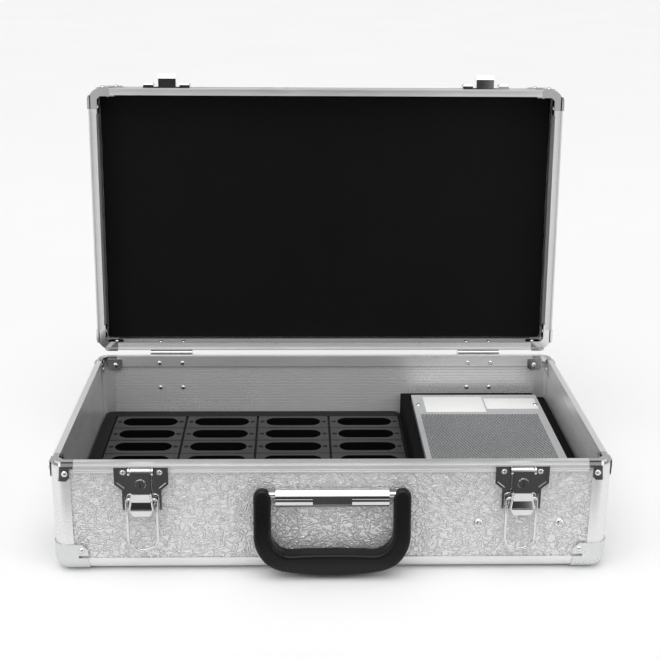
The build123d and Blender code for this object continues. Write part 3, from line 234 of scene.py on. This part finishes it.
@dataclass(frozen=True)
class Finish:
    """One finish of the case."""

    name: str
    colour: tuple[float, float, float]
    pattern: Pattern
    metallic: float = 0.0
    roughness: float = 0.5
    variation: float = 0.08
    cells: float = 900.0
    depth: float = 0.05 * MM
    drawn: tuple[float, float, float] = (1.0, 1.0, 1.0)
    specular: float = 0.5
    inner: tuple[float, float, float] | None = None
    tilt: float = 0.0

    def material(self) -> bpy.types.Material:
        """Build the finish's material.

        Returns:
            The material, with its relief, cloudiness and gloss set.
        """
        graph = Graph(self.name)
        shader = graph.shader.inputs
        shader["Metallic"].default_value = self.metallic
        shader["Specular IOR Level"].default_value = self.specular
        cloud = graph.noise(graph.object_point(), 14.0, 4.0)
        fine = graph.noise(graph.object_point(self.drawn), self.cells, 3.0)
        mixed = graph.math("ADD", graph.math("MULTIPLY", cloud, 0.5), graph.math("MULTIPLY", fine, 0.5))
        dark = tuple(max(c * (1 - self.variation), 0.0) for c in self.colour)
        light = tuple(min(c * (1 + self.variation), 1.0) for c in self.colour)
        colour = graph.tint(graph.spread(mixed, 0, 1, 0.35, 0.65), dark, light)
        if self.inner is not None:
            colour = graph.tint(self.outside(graph), self.inner, colour)
        graph.feed(shader["Base Color"], colour)
        rough = graph.spread(mixed, self.roughness * 0.85, min(self.roughness * 1.15, 1.0), 0.35, 0.65)
        graph.feed(shader["Roughness"], rough)
        graph.feed(shader["Normal"], self.relief(graph, fine))
        return graph.material

    def outside(self, graph: Graph) -> Any:
        """1 on the outer faces of a shell's panels and 0 on their inner faces.

        Args:
            graph: Tree to build in.

        Returns:
            A value output.
        """
        point = graph.object_point()
        turn = Matrix.Rotation(self.tilt, 3, "X")
        mapping = point.node
        mapping.inputs["Location"].default_value = HINGE_LINE - turn @ HINGE_LINE
        mapping.inputs["Rotation"].default_value = (self.tilt, 0, 0)
        parts = graph.nodes.new("ShaderNodeSeparateXYZ")
        graph.feed(parts.inputs[0], point)
        x_side = graph.math("GREATER_THAN", graph.math("ABSOLUTE", parts.outputs[0]), SIDE_FACE)
        y_side = graph.math("GREATER_THAN", graph.math("ABSOLUTE", parts.outputs[1]), FRONT_FACE)
        low = graph.math("LESS_THAN", parts.outputs[2], BOTTOM_FACE)
        high = graph.math("GREATER_THAN", parts.outputs[2], TOP_FACE)
        upright = graph.math("MAXIMUM", x_side, y_side)
        return graph.math("MAXIMUM", upright, graph.math("MAXIMUM", low, high))

    def relief(self, graph: Graph, fine: Any) -> Any:
        """Normal of the finish's pattern.

        Args:
            graph: Tree to build in.
            fine: The finish's fine noise.

        Returns:
            A normal output.
        """
        if self.pattern is Pattern.STUCCO:
            bent = graph.noise(graph.object_point((1.0, 1.0, 1.25)), 155.0, 1.0, 1.6)
            ridge = graph.math("ABSOLUTE", graph.math("SUBTRACT", bent, 0.5))
            crest = graph.spread(ridge, 1.0, 0.0, 0.0, 0.10)
            raised = graph.math("MULTIPLY", crest, self.outside(graph))
            return graph.bump(raised, self.depth, 1.0, graph.bump(fine, 0.02 * MM, 0.4))
        if self.pattern is Pattern.FOAM:
            cells = graph.add("TexVoronoi", {"Vector": graph.object_point(), "Scale": self.cells})
            return graph.bump(cells, self.depth, 1.0, graph.bump(fine, 0.3 * MM, 0.6))
        if self.pattern is Pattern.GRAIN:
            sockets = {"Vector": graph.object_point(), "Scale": self.cells}
            cells = graph.add("TexVoronoi", sockets, feature="SMOOTH_F1")
            return graph.bump(cells, self.depth, 0.9)
        return graph.bump(fine, self.depth, 0.5)


class Finishes:
    """Every finish of the case, by the record's slot names and by this script's own names."""

    def __init__(self) -> None:
        """Build all the materials once."""
        grey = (0.70, 0.70, 0.70)
        skin = Finish("panel_skin", grey, Pattern.STUCCO, 0.35, 0.3, 0.05, 700, 0.8 * MM, inner=grey)
        sheets = (
            skin,
            replace(skin, name="lid_skin", tilt=LID_OPEN),
            Finish(
                "extrusion", (0.76, 0.76, 0.76), Pattern.SATIN, 0.55, 0.32, 0.04, 600, 0.02 * MM, (0.05, 1, 1)
            ),
            Finish("cap_metal", (0.66, 0.67, 0.67), Pattern.SATIN, 0.6, 0.26, 0.04, 500, 0.02 * MM),
            Finish("chrome", (0.70, 0.70, 0.71), Pattern.POLISHED, 1.0, 0.07, 0.04, 60, 0.02 * MM),
            Finish("fastener", (0.72, 0.72, 0.72), Pattern.POLISHED, 1.0, 0.2, 0.06, 300, 0.02 * MM),
            Finish("hinge_metal", (0.70, 0.70, 0.71), Pattern.POLISHED, 1.0, 0.22, 0.05, 200, 0.02 * MM),
            Finish(
                "foam", (0.005, 0.005, 0.005), Pattern.FOAM, 0.0, 0.95, 0.35, 1300, 0.5 * MM, specular=0.12
            ),
            Finish(
                "tray_black", (0.006, 0.006, 0.006),
                Pattern.GRAIN, 0.0, 0.6, 0.3, 1500, 0.06 * MM, specular=0.3,
            ),
            Finish(
                "socket_grey", (0.05, 0.05, 0.052),
                Pattern.GRAIN, 0.0, 0.55, 0.2, 1400, 0.05 * MM, specular=0.35,
            ),
            Finish("circuit_board", (0.02, 0.12, 0.04), Pattern.SHEET, 0.0, 0.45, 0.2, 400),
            Finish("batten", (0.45, 0.33, 0.2), Pattern.FIBRE, 0.0, 0.75, 0.25, 300, 0.2 * MM, (0.1, 1, 1)),
            Finish("supply_metal", (0.60, 0.61, 0.62), Pattern.SHEET, 0.35, 0.4, 0.07, 260, 0.02 * MM),
            Finish("inlet_black", (0.014, 0.014, 0.015), Pattern.GRAIN, 0.0, 0.42, 0.2, 1200, 0.04 * MM),
            Finish("brass", (0.72, 0.53, 0.24), Pattern.SHEET, 1.0, 0.3, 0.1, 300, 0.02 * MM),
            Finish(
                "grip_black", (0.004, 0.004, 0.004),
                Pattern.GRAIN, 0.0, 0.3, 0.2, 1300, 0.12 * MM, specular=0.25,
            ),
            Finish("label_paper", (0.88, 0.88, 0.87), Pattern.SHEET, 0.0, 0.5, 0.05, 500, 0.01 * MM),
            # slot_dark is painted shade: a near-black colour for the shade inside the bay slots and behind
            # the supply's perforations
            Finish(
                "slot_dark", (0.002, 0.002, 0.002), Pattern.GRAIN, 0.0, 0.8, 0.3, 900, 0.03 * MM, specular=0.1
            ),
        )
        self.by_name = {sheet.name: sheet.material() for sheet in sheets}

    def dress(self, piece: bpy.types.Object, name: str) -> None:
        """Give every slot of a piece one finish.

        Args:
            piece: Object to dress.
            name: Finish's name.
        """
        piece.data.materials.clear()
        piece.data.materials.append(self.by_name[name])

    def dress_nodes(self, frame: dict[str, Any]) -> None:
        """Give each CAD node the detailed finish of its slot.
        """
        for entry in frame["record"]["subparts"]:
            node = frame["nodes"][entry["node"]]
            if not node.material_slots:
                node.data.materials.append(None)
            name = entry["material_slot"]
            if name == "panel_skin" and entry["node"].startswith("lid_"):
                name = "lid_skin"
            for place in node.material_slots:
                place.material = self.by_name[name]


# Modelling


def deselect() -> None:
    """Leave object mode with nothing selected."""
    if bpy.context.object and bpy.context.object.mode != "OBJECT":
        bpy.ops.object.mode_set(mode="OBJECT")
    bpy.ops.object.select_all(action="DESELECT")


def activate(*pieces: bpy.types.Object) -> None:
    """Select these pieces only, the first of them active.

    Args:
        pieces: Objects to select.
    """
    deselect()
    for piece in pieces:
        piece.select_set(True)
    bpy.context.view_layer.objects.active = pieces[0]


def shape(piece: bpy.types.Object, kind: str, **settings: Any) -> None:
    """Apply one modifier to a piece.

    Args:
        piece: Object to shape.
        kind: Modifier type.
        settings: Attributes of the modifier.
    """
    modifier = piece.modifiers.new(kind.title(), kind)
    for key, value in settings.items():
        setattr(modifier, key, value)
    activate(piece)
    bpy.ops.object.modifier_apply(modifier=modifier.name)


def settle(piece: bpy.types.Object, name: str) -> bpy.types.Object:
    """Name a piece and put its place into its mesh.

    Args:
        piece: Object to settle.
        name: Its final name.

    Returns:
        The same object.
    """
    activate(piece)
    bpy.ops.object.transform_apply(location=True, rotation=True, scale=True)
    piece.name = name
    piece.data.name = name
    return piece


def smooth(piece: bpy.types.Object, angle: float = 40.0) -> None:
    """Shade a piece smooth across edges gentler than an angle.

    Args:
        piece: Object to shade.
        angle: Limit in degrees.
    """
    activate(piece)
    bpy.ops.object.shade_smooth_by_angle(angle=math.radians(angle))


def block(name: str, low: Sequence[float], high: Sequence[float], bevel: float = 0.0) -> bpy.types.Object:
    """A box between two corners in millimetres, with its edges bevelled.

    Args:
        name: Name of the piece.
        low: Lowest corner.
        high: Highest corner.
        bevel: Bevel width in millimetres.

    Returns:
        The box.
    """
    centre = [(a + b) / 2 * MM for a, b in zip(low, high)]
    size = [(b - a) * MM for a, b in zip(low, high)]
    deselect()
    bpy.ops.mesh.primitive_cube_add(size=1, location=centre, scale=size)
    piece = settle(bpy.context.object, name)
    if bevel:
        shape(piece, "BEVEL", width=bevel * MM, segments=2, limit_method="ANGLE")
        smooth(piece)
    return piece


def cut(piece: bpy.types.Object, cutter: bpy.types.Object) -> None:
    """Subtract a cutter from a piece and remove the cutter.

    Args:
        piece: Object to cut.
        cutter: Closed object to take away.
    """
    shape(piece, "BOOLEAN", operation="DIFFERENCE", object=cutter, solver="EXACT")
    bpy.data.objects.remove(cutter, do_unlink=True)


def copies(piece: bpy.types.Object, places: Sequence[Matrix], name: str) -> bpy.types.Object:
    """Copy a piece, each copy with its own mesh, to every place and join them.

    Args:
        piece: Object modelled at the origin; it is used up.
        places: Where each copy goes.
        name: Name of the joined piece.

    Returns:
        The joined piece.
    """
    made = []
    for place in places:
        copy = piece.copy()
        copy.data = piece.data.copy()
        copy.matrix_world = place
        bpy.context.scene.collection.objects.link(copy)
        made.append(copy)
    bpy.data.objects.remove(piece, do_unlink=True)
    activate(*made)
    bpy.ops.object.join()
    return settle(bpy.context.object, name)


def cad_copy(frame: dict[str, Any], node: str, name: str) -> bpy.types.Object:
    """A merged copy of a CAD node to shape further.

    Args:
        node: CAD node's name.
        name: Name of the copy.

    Returns:
        The copy, with its doubles merged.
    """
    piece = bpy.data.objects.new(name, frame["nodes"][node].data.copy())
    bpy.context.scene.collection.objects.link(piece)
    piece.data.name = name
    activate(piece)
    bpy.ops.object.mode_set(mode="EDIT")
    bpy.ops.mesh.select_all(action="SELECT")
    bpy.ops.mesh.remove_doubles(threshold=SAME_POINT)
    bpy.ops.object.mode_set(mode="OBJECT")
    return piece


def mould(piece: bpy.types.Object, voxel: float, rounds: int) -> None:
    """Round a piece's edges by remeshing and relaxing it.

    Args:
        piece: Closed object to round.
        voxel: Voxel size in millimetres.
        rounds: Smoothing steps.
    """
    shape(piece, "REMESH", mode="VOXEL", voxel_size=voxel * MM, use_smooth_shade=True)
    shape(piece, "SMOOTH", factor=0.5, iterations=rounds)
    smooth(piece, 60)


def stand_for(piece: bpy.types.Object, body: str, slot: str, *nodes: str) -> None:
    """Tie a piece to its body, in place of CAD nodes if any are named.

    Args:
        piece: Finished object.
        body: Body that it rides on.
        slot: Record's material slot; not used.
        nodes: CAD nodes that it replaces.
    """
    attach(piece, body)
    if nodes:
        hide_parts(*nodes)
    LOG.info("%s rides on %s", piece.name, body)


# Fasteners


class Drive(Enum):
    """Recess in a fastener's head."""

    NONE = 0
    CROSS = 1


def loose_parts(mesh: bpy.types.Mesh) -> list[np.ndarray]:
    """Points of each separate solid of a mesh whose faces share no vertices.

    Args:
        mesh: Mesh of a CAD node.

    Returns:
        One array of merged points for each solid.
    """
    points = [tuple(np.round(v.co[:], 6)) for v in mesh.vertices]
    root = {point: point for point in points}

    def top(point: tuple[float, ...]) -> tuple[float, ...]:
        """Point that stands for a point's solid.

        Args:
            point: Any point of the mesh.

        Returns:
            The same point for every point of one solid.
        """
        while root[point] != point:
            point = root[point]
        return point

    for polygon in mesh.polygons:
        corners = [top(points[index]) for index in polygon.vertices]
        for corner in corners[1:]:
            root[top(corner)] = top(corners[0])
    groups: dict[tuple[float, ...], set[tuple[float, ...]]] = {}
    for point in points:
        groups.setdefault(top(point), set()).add(point)
    return [np.array(sorted(groups[start])) for start in sorted(groups)]


@dataclass
class Fasteners:
    """Domed heads in place of the CAD's few-sided ones."""

    frame: dict[str, Any]
    finishes: Finishes
    rings: int = 6
    sides: int = 20
    sunk: float = 0.35
    recess_long: float = 1.3
    recess_wide: float = 0.24
    recess_deep: float = 0.9
    latch_head: float = 1.5 * MM

    def head(self, radius: float, height: float, drive: Drive) -> bpy.types.Object:
        """One domed head on the origin, its crown along +Z.

        Args:
            radius: Radius in metres.
            height: Height in metres.
            drive: Its recess.

        Returns:
            The head.
        """
        deselect()
        bpy.ops.mesh.primitive_uv_sphere_add(segments=self.sides, ring_count=2 * self.rings, radius=radius)
        dome = bpy.context.object
        activate(dome)
        bpy.ops.object.mode_set(mode="EDIT")
        bpy.ops.mesh.select_all(action="SELECT")
        level = self.sunk * radius
        bpy.ops.mesh.bisect(plane_co=(0, 0, level), plane_no=(0, 0, 1), clear_inner=True, use_fill=True)
        bpy.ops.mesh.select_all(action="SELECT")
        bpy.ops.transform.translate(value=(0, 0, -level))
        wider = 1 / math.sqrt(1 - self.sunk**2)
        taller = height / ((1 - self.sunk) * radius)
        bpy.ops.transform.resize(value=(wider, wider, taller), center_override=(0, 0, 0))
        bpy.ops.object.mode_set(mode="OBJECT")
        if drive is Drive.CROSS:
            long, wide, deep = self.recess_long * radius, self.recess_wide * radius, self.recess_deep * height
            for size in ((wide, long, deep), (long, wide, deep)):
                deselect()
                bpy.ops.mesh.primitive_cube_add(size=1, location=(0, 0, height), scale=size)
                cut(dome, bpy.context.object)
        smooth(dome, 45)
        return dome

    def seats(self, node: str) -> list[tuple[Matrix, float, float]]:
        """Where the heads of a CAD node sit.

        Args:
            node: CAD node with one solid for each head.

        Returns:
            Place, radius and height of each head.
        """
        found = []
        for cloud in loose_parts(self.frame["nodes"][node].data):
            centre = cloud.mean(0)
            axis = np.linalg.svd(cloud - centre)[2][2]
            along = (cloud - centre) @ axis
            radial = np.linalg.norm(cloud - centre - np.outer(along, axis), axis=1)
            if radial[along > 0].mean() > radial[along < 0].mean():
                axis, along = -axis, -along
            foot = Vector(centre + axis * along.min())
            turn = Vector((0, 0, 1)).rotation_difference(Vector(axis)).to_matrix().to_4x4()
            height = float(along.max() - along.min())
            found.append((Matrix.Translation(foot) @ turn, float(radial.max()), height))
        return found

    def build(self) -> None:
        """Replace every node of heads by domed ones."""
        rows = (
            ("base_rivets", "base", Drive.NONE),
            ("lid_rivets", "lid", Drive.NONE),
            ("lid_hinge_rivets", "lid", Drive.NONE),
            ("front_screws", "base", Drive.CROSS),
            ("supply_screws", "base", Drive.CROSS),
        )
        for node, body, usual in rows:
            kinds: dict[tuple[float, float, Drive], list[Matrix]] = {}
            for place, radius, height in self.seats(node):
                drive = Drive.CROSS if height > self.latch_head else usual
                key = (round(radius, 5), round(height, 5), drive)
                kinds.setdefault(key, []).append(place)
            parts = []
            for (radius, height, drive), places in sorted(kinds.items(), key=lambda row: row[0][:2]):
                parts.append(copies(self.head(radius, height, drive), places, node + "_heads"))
            activate(*parts)
            if len(parts) > 1:
                bpy.ops.object.join()
            piece = settle(bpy.context.object, node + "_domed")
            self.finishes.dress(piece, "fastener")
            stand_for(piece, body, "fastener", node)


# Handle, levers and bails


@dataclass
class Mouldings:
    """Rounded forms in place of the CAD's few-sided ones."""

    frame: dict[str, Any]
    finishes: Finishes
    grip_voxel: float = 0.9
    grip_rounds: int = 16
    lever_voxel: float = 0.4
    wire_voxel: float = 0.32
    metal_rounds: int = 3

    def build(self) -> None:
        """Round the grip, the levers and the bails."""
        rows = [("handle_grip", "handle", "grip_black", self.grip_voxel, self.grip_rounds)]
        for side in ("left", "right"):
            metal = ("chrome", self.lever_voxel, self.metal_rounds)
            wire = ("chrome", self.wire_voxel, self.metal_rounds)
            rows.append((f"latch_lever_{side}", f"lever_{side}", *metal))
            rows.append((f"latch_bail_{side}", f"bail_{side}", *wire))
        for node, body, slot, voxel, rounds in rows:
            piece = cad_copy(self.frame, node, node + "_rounded")
            mould(piece, voxel, rounds)
            self.finishes.dress(piece, slot)
            stand_for(piece, body, slot, node)


# Charging bays


@dataclass
class Bays:
    """Bay plates with round-ended slots."""

    frame: dict[str, Any]
    finishes: Finishes
    columns: int = 4
    rows: int = 6
    pitch: tuple[float, float] = (71.2, 30.2)
    first: tuple[float, float] = (-175.0, 93.9)
    plate: tuple[float, float] = (69.2, 28.6)
    slot: tuple[float, float] = (54.0, 19.0)
    tube: tuple[float, float] = (58.0, 22.6)
    top: float = 41.0
    plate_low: float = 38.5
    tube_low: float = 12.0
    screw_x: float = 30.7
    screw_radius: float = 2.4
    screw_cut: float = 4.0
    edge: float = 0.5
    seat_gap: float = 0.05
    overrun: float = 5.0
    # Depth below the plate's top where the slot walls start to take the painted shade, in millimetres
    painted_shade_below: float = 0.6

    def stadium(self, length: float, width: float, low: float, high: float) -> bpy.types.Object:
        """A round-ended prism.

        Args:
            length: Overall length in millimetres.
            width: Width in millimetres.
            low: Level of its bottom.
            high: Level of its top.

        Returns:
            The prism.
        """
        deselect()
        middle = (0, 0, (low + high) / 2 * MM)
        bpy.ops.mesh.primitive_cylinder_add(
            vertices=32, radius=width / 2 * MM, depth=(high - low) * MM, location=middle
        )
        prism = settle(bpy.context.object, "slot_cutter")
        shift = (length - width) / 2 * MM
        for side in (-1, 1):
            for vertex in prism.data.vertices:
                if vertex.co.x * side > SAME_POINT and abs(vertex.co.x) < shift:
                    vertex.co.x += side * shift
        return prism

    def build(self) -> None:
        """Model one socket and copy it to every bay."""
        half_x, half_y = (v / 2 for v in self.plate)
        over = self.overrun
        socket = block("bay", (-half_x, -half_y, self.plate_low), (half_x, half_y, self.top), self.edge)
        cut(socket, self.stadium(*self.slot, self.plate_low - over, self.top + over))
        tube_x, tube_y = (v / 2 for v in self.tube)
        tube_top = self.plate_low - self.seat_gap
        tube = block("tube", (-tube_x, -tube_y, self.tube_low), (tube_x, tube_y, tube_top))
        cut(tube, self.stadium(*self.slot, self.tube_low - over, self.plate_low + over))
        for side in (-1, 1):
            deselect()
            seat = (side * self.screw_x * MM, 0, self.top * MM)
            bpy.ops.mesh.primitive_cylinder_add(
                vertices=16, radius=self.screw_radius * MM, depth=self.screw_cut * MM, location=seat
            )
            cut(socket, bpy.context.object)
        activate(socket, tube)
        bpy.ops.object.join()
        smooth(socket, 30)
        socket.data.materials.clear()
        socket.data.materials.append(self.finishes.by_name["socket_grey"])
        socket.data.materials.append(self.finishes.by_name["slot_dark"])
        # Slot walls below the top take slot_dark: painted shade in the recess, on the same grey plastic
        for polygon in socket.data.polygons:
            inside = abs(polygon.center.x) < tube_x * MM and abs(polygon.center.y) < tube_y * MM
            sunk = polygon.center.z < (self.top - self.painted_shade_below) * MM
            polygon.material_index = int(inside and sunk)
        places = []
        for row in range(self.rows):
            for column in range(self.columns):
                x = (self.first[0] + column * self.pitch[0]) * MM
                y = (self.first[1] - row * self.pitch[1]) * MM
                places.append(Matrix.Translation((x, y, 0)))
        piece = copies(socket, places, "bay_sockets_slotted")
        stand_for(piece, "base", "socket_grey", "bay_sockets")


# Power supply


@dataclass
class SupplyTop:
    """Perforated top and blank labels of the power supply."""
    # Dark discs of painted shade for the perforations in the power supply's top, and its blank labels.

    finishes: Finishes
    level: float = 63.0
    x_span: tuple[float, float] = (92.0, 207.0)
    y_span: tuple[float, float] = (-90.0, 62.0)
    pitch: float = 3.0
    hole: float = 0.85
    hole_depth: float = 0.12
    hole_lift: float = 0.02
    paper: float = 0.25
    paper_edge: float = 0.08
    wide_label: tuple[tuple[float, float], tuple[float, float]] = ((97.4, 65), (156.3, 104))
    small_label: tuple[tuple[float, float], tuple[float, float]] = ((158, 73), (209, 100))

    def build(self) -> None:
        """Add the dark discs of painted shade where the holes are, and the labels."""
        deselect()
        start = (self.x_span[0] * MM, self.y_span[0] * MM, (self.level + self.hole_lift) * MM)
        bpy.ops.mesh.primitive_cylinder_add(
            vertices=6, radius=self.hole * MM, depth=self.hole_depth * MM, location=start
        )
        holes = settle(bpy.context.object, "supply_cover_painted_hole_shade")
        step = self.pitch * MM
        columns = int((self.x_span[1] - self.x_span[0]) / self.pitch)
        rows = int((self.y_span[1] - self.y_span[0]) / self.pitch)
        for count, offset in ((2, (step / 2, step / 2, 0)), (columns, (step, 0, 0)), (rows, (0, step, 0))):
            shape(
                holes,
                "ARRAY",
                count=count,
                use_relative_offset=False,
                use_constant_offset=True,
                constant_offset_displace=offset,
            )
        # Near-black discs: painted shade standing in for the shadow seen through the perforations
        self.finishes.dress(holes, "slot_dark")
        stand_for(holes, "base", "supply_metal")
        for name, (low, high) in (("wide", self.wide_label), ("small", self.small_label)):
            top = self.level + self.paper
            label = block("supply_label_" + name, (*low, self.level), (*high, top), self.paper_edge)
            self.finishes.dress(label, "label_paper")
            stand_for(label, "base", "supply_metal")


# Foam


@dataclass
class Foams:
    """Cut foam of the lid and round the power supply."""

    frame: dict[str, Any]
    finishes: Finishes
    voxel: float = 2.4
    rounds: int = 2
    ripple: float = 0.5
    ripple_size: float = 0.03

    def build(self) -> None:
        texture = bpy.data.textures.new("foam_ripple", "CLOUDS")
        texture.noise_scale = self.ripple_size
        for node, body in (("lid_foam", "lid"), ("foam_surround", "base")):
            piece = cad_copy(self.frame, node, node + "_cut")
            shape(piece, "REMESH", mode="VOXEL", voxel_size=self.voxel * MM, use_smooth_shade=True)
            shape(piece, "SMOOTH", factor=0.5, iterations=self.rounds)
            shape(
                piece,
                "DISPLACE",
                texture=texture,
                strength=self.ripple * MM,
                mid_level=1.0,
                texture_coords="LOCAL",
            )
            smooth(piece, 60)
            self.finishes.dress(piece, "foam")
            stand_for(piece, body, "foam", node)


# Studio


@dataclass
class Studio:
    """Floor, lights and camera."""

    camera_at: tuple[float, float, float] = (-28.567, -1019.040, 512.834)
    pitch: float = 0.324955
    yaw: float = 0.0244474
    roll: float = 0.0076016
    focal_pixels: float = 1202.288
    centre_pixels: float = -4.862
    image_pixels: float = 660.0
    floor_size: float = 30.0
    floor_drop: float = 0.0002
    surround: float = 0.55
    sky: float = 1.8
    sky_angle: float = math.radians(70)
    sky_turn: tuple[float, float, float] = (math.radians(18), math.radians(-6), 0)
    card_power: float = 4.0
    card_size: tuple[float, float] = (0.5, 1.0)

    def floor(self) -> None:
        """A plain pale floor."""
        deselect()
        bpy.ops.mesh.primitive_plane_add(size=self.floor_size, location=(0, 0, -self.floor_drop))
        floor = settle(bpy.context.object, "studio_floor")
        graph = Graph("studio_floor")
        cloud = graph.noise(graph.object_point(), 2.0)
        pale = graph.tint(cloud, (0.86, 0.86, 0.86), (0.9, 0.9, 0.9))
        graph.feed(graph.shader.inputs["Base Color"], pale)
        graph.shader.inputs["Roughness"].default_value = 0.7
        floor.data.materials.append(graph.material)

    def flag(self, name: str, at: Sequence[float], size: Sequence[float], tilt: float) -> None:
        """A dark board that only reflections show; no camera sees it and it throws no shadow.

        Args:
            name: Name of the board.
            at: Its centre in metres.
            size: Width and depth in metres.
            tilt: Turn about X in degrees.
        """
        deselect()
        bpy.ops.mesh.primitive_plane_add(size=1, location=at, rotation=(math.radians(tilt), 0, 0))
        board = bpy.context.object
        board.scale = (*size, 1)
        board = settle(board, name)
        graph = Graph(name)
        cloud = graph.noise(graph.object_point(), 3.0)
        black = graph.tint(cloud, (0.01, 0.01, 0.01), (0.02, 0.02, 0.02))
        graph.feed(graph.shader.inputs["Base Color"], black)
        board.data.materials.append(graph.material)
        board.visible_camera = False
        board.visible_shadow = False
        board.visible_diffuse = False

    def card(self, name: str, at: Sequence[float]) -> None:
        """A soft light that faces the case.

        Args:
            name: Name of the light.
            at: Its place in metres.
        """
        light = bpy.data.lights.new(name, "AREA")
        light.shape = "RECTANGLE"
        light.size, light.size_y = self.card_size
        light.energy = self.card_power
        holder = bpy.data.objects.new(name, light)
        bpy.context.scene.collection.objects.link(holder)
        holder.location = at
        holder.rotation_euler = (Vector((0, 0, 0.1)) - Vector(at)).to_track_quat("-Z", "Y").to_euler()

    def overhead(self) -> None:
        """A wide, soft light from above."""
        sun = bpy.data.lights.new("light_sky", "SUN")
        sun.energy, sun.angle = self.sky, self.sky_angle
        holder = bpy.data.objects.new("light_sky", sun)
        bpy.context.scene.collection.objects.link(holder)
        holder.rotation_euler = self.sky_turn

    def light(self) -> None:
        """A bright surround, soft lights, and two dark boards for the chrome to reflect."""
        world = bpy.data.worlds.new("studio_surround")
        bpy.context.scene.world = world
        world.use_nodes = True
        background = world.node_tree.nodes["Background"]
        background.inputs["Color"].default_value = (1, 1, 1, 1)
        background.inputs["Strength"].default_value = self.surround
        self.overhead()
        self.card("light_left", (-1.5, -1.2, 0.8))
        self.card("light_right", (1.5, -1.1, 0.8))
        self.flag("dark_board_front", (0, -0.55, 0.003), (0.7, 0.62), 0)
        self.flag("dark_board_back", (0, -1.6, 0.5), (0.9, 0.7), 90)

    def camera(self) -> None:
        """The photograph's camera."""
        sin, cos = math.sin, math.cos
        forward = Vector((sin(self.yaw) * cos(self.pitch), cos(self.yaw) * cos(self.pitch), -sin(self.pitch)))
        right = Vector((cos(self.yaw), -sin(self.yaw), 0))
        up = right.cross(forward)
        rolled_right = cos(self.roll) * right + sin(self.roll) * up
        rolled_up = -sin(self.roll) * right + cos(self.roll) * up
        data = bpy.data.cameras.new("photo_camera")
        data.sensor_width = 36
        data.lens = self.focal_pixels * data.sensor_width / self.image_pixels
        data.shift_x = -self.centre_pixels / self.image_pixels
        data.clip_start, data.clip_end = 0.05, 50
        holder = bpy.data.objects.new("photo_camera", data)
        bpy.context.scene.collection.objects.link(holder)
        turn = Matrix((rolled_right, rolled_up, -forward)).transposed().to_4x4()
        holder.matrix_world = Matrix.Translation([v * MM for v in self.camera_at]) @ turn
        bpy.context.scene.camera = holder

    def build(self) -> None:
        """Set the floor, the lights and the camera."""
        self.floor()
        self.light()
        self.camera()
        bpy.context.scene.view_settings.view_transform = "Standard"


def main() -> None:
    """Load the frame, dress it, add the detailed pieces and set the studio."""
    logging.basicConfig(level=logging.INFO, format="%(message)s")
    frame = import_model()
    deselect()
    finishes = Finishes()
    finishes.dress_nodes(frame)
    Fasteners(frame, finishes).build()
    Mouldings(frame, finishes).build()
    Bays(frame, finishes).build()
    SupplyTop(finishes).build()
    Foams(frame, finishes).build()
    Studio().build()


if __name__ == "__main__":
    main()
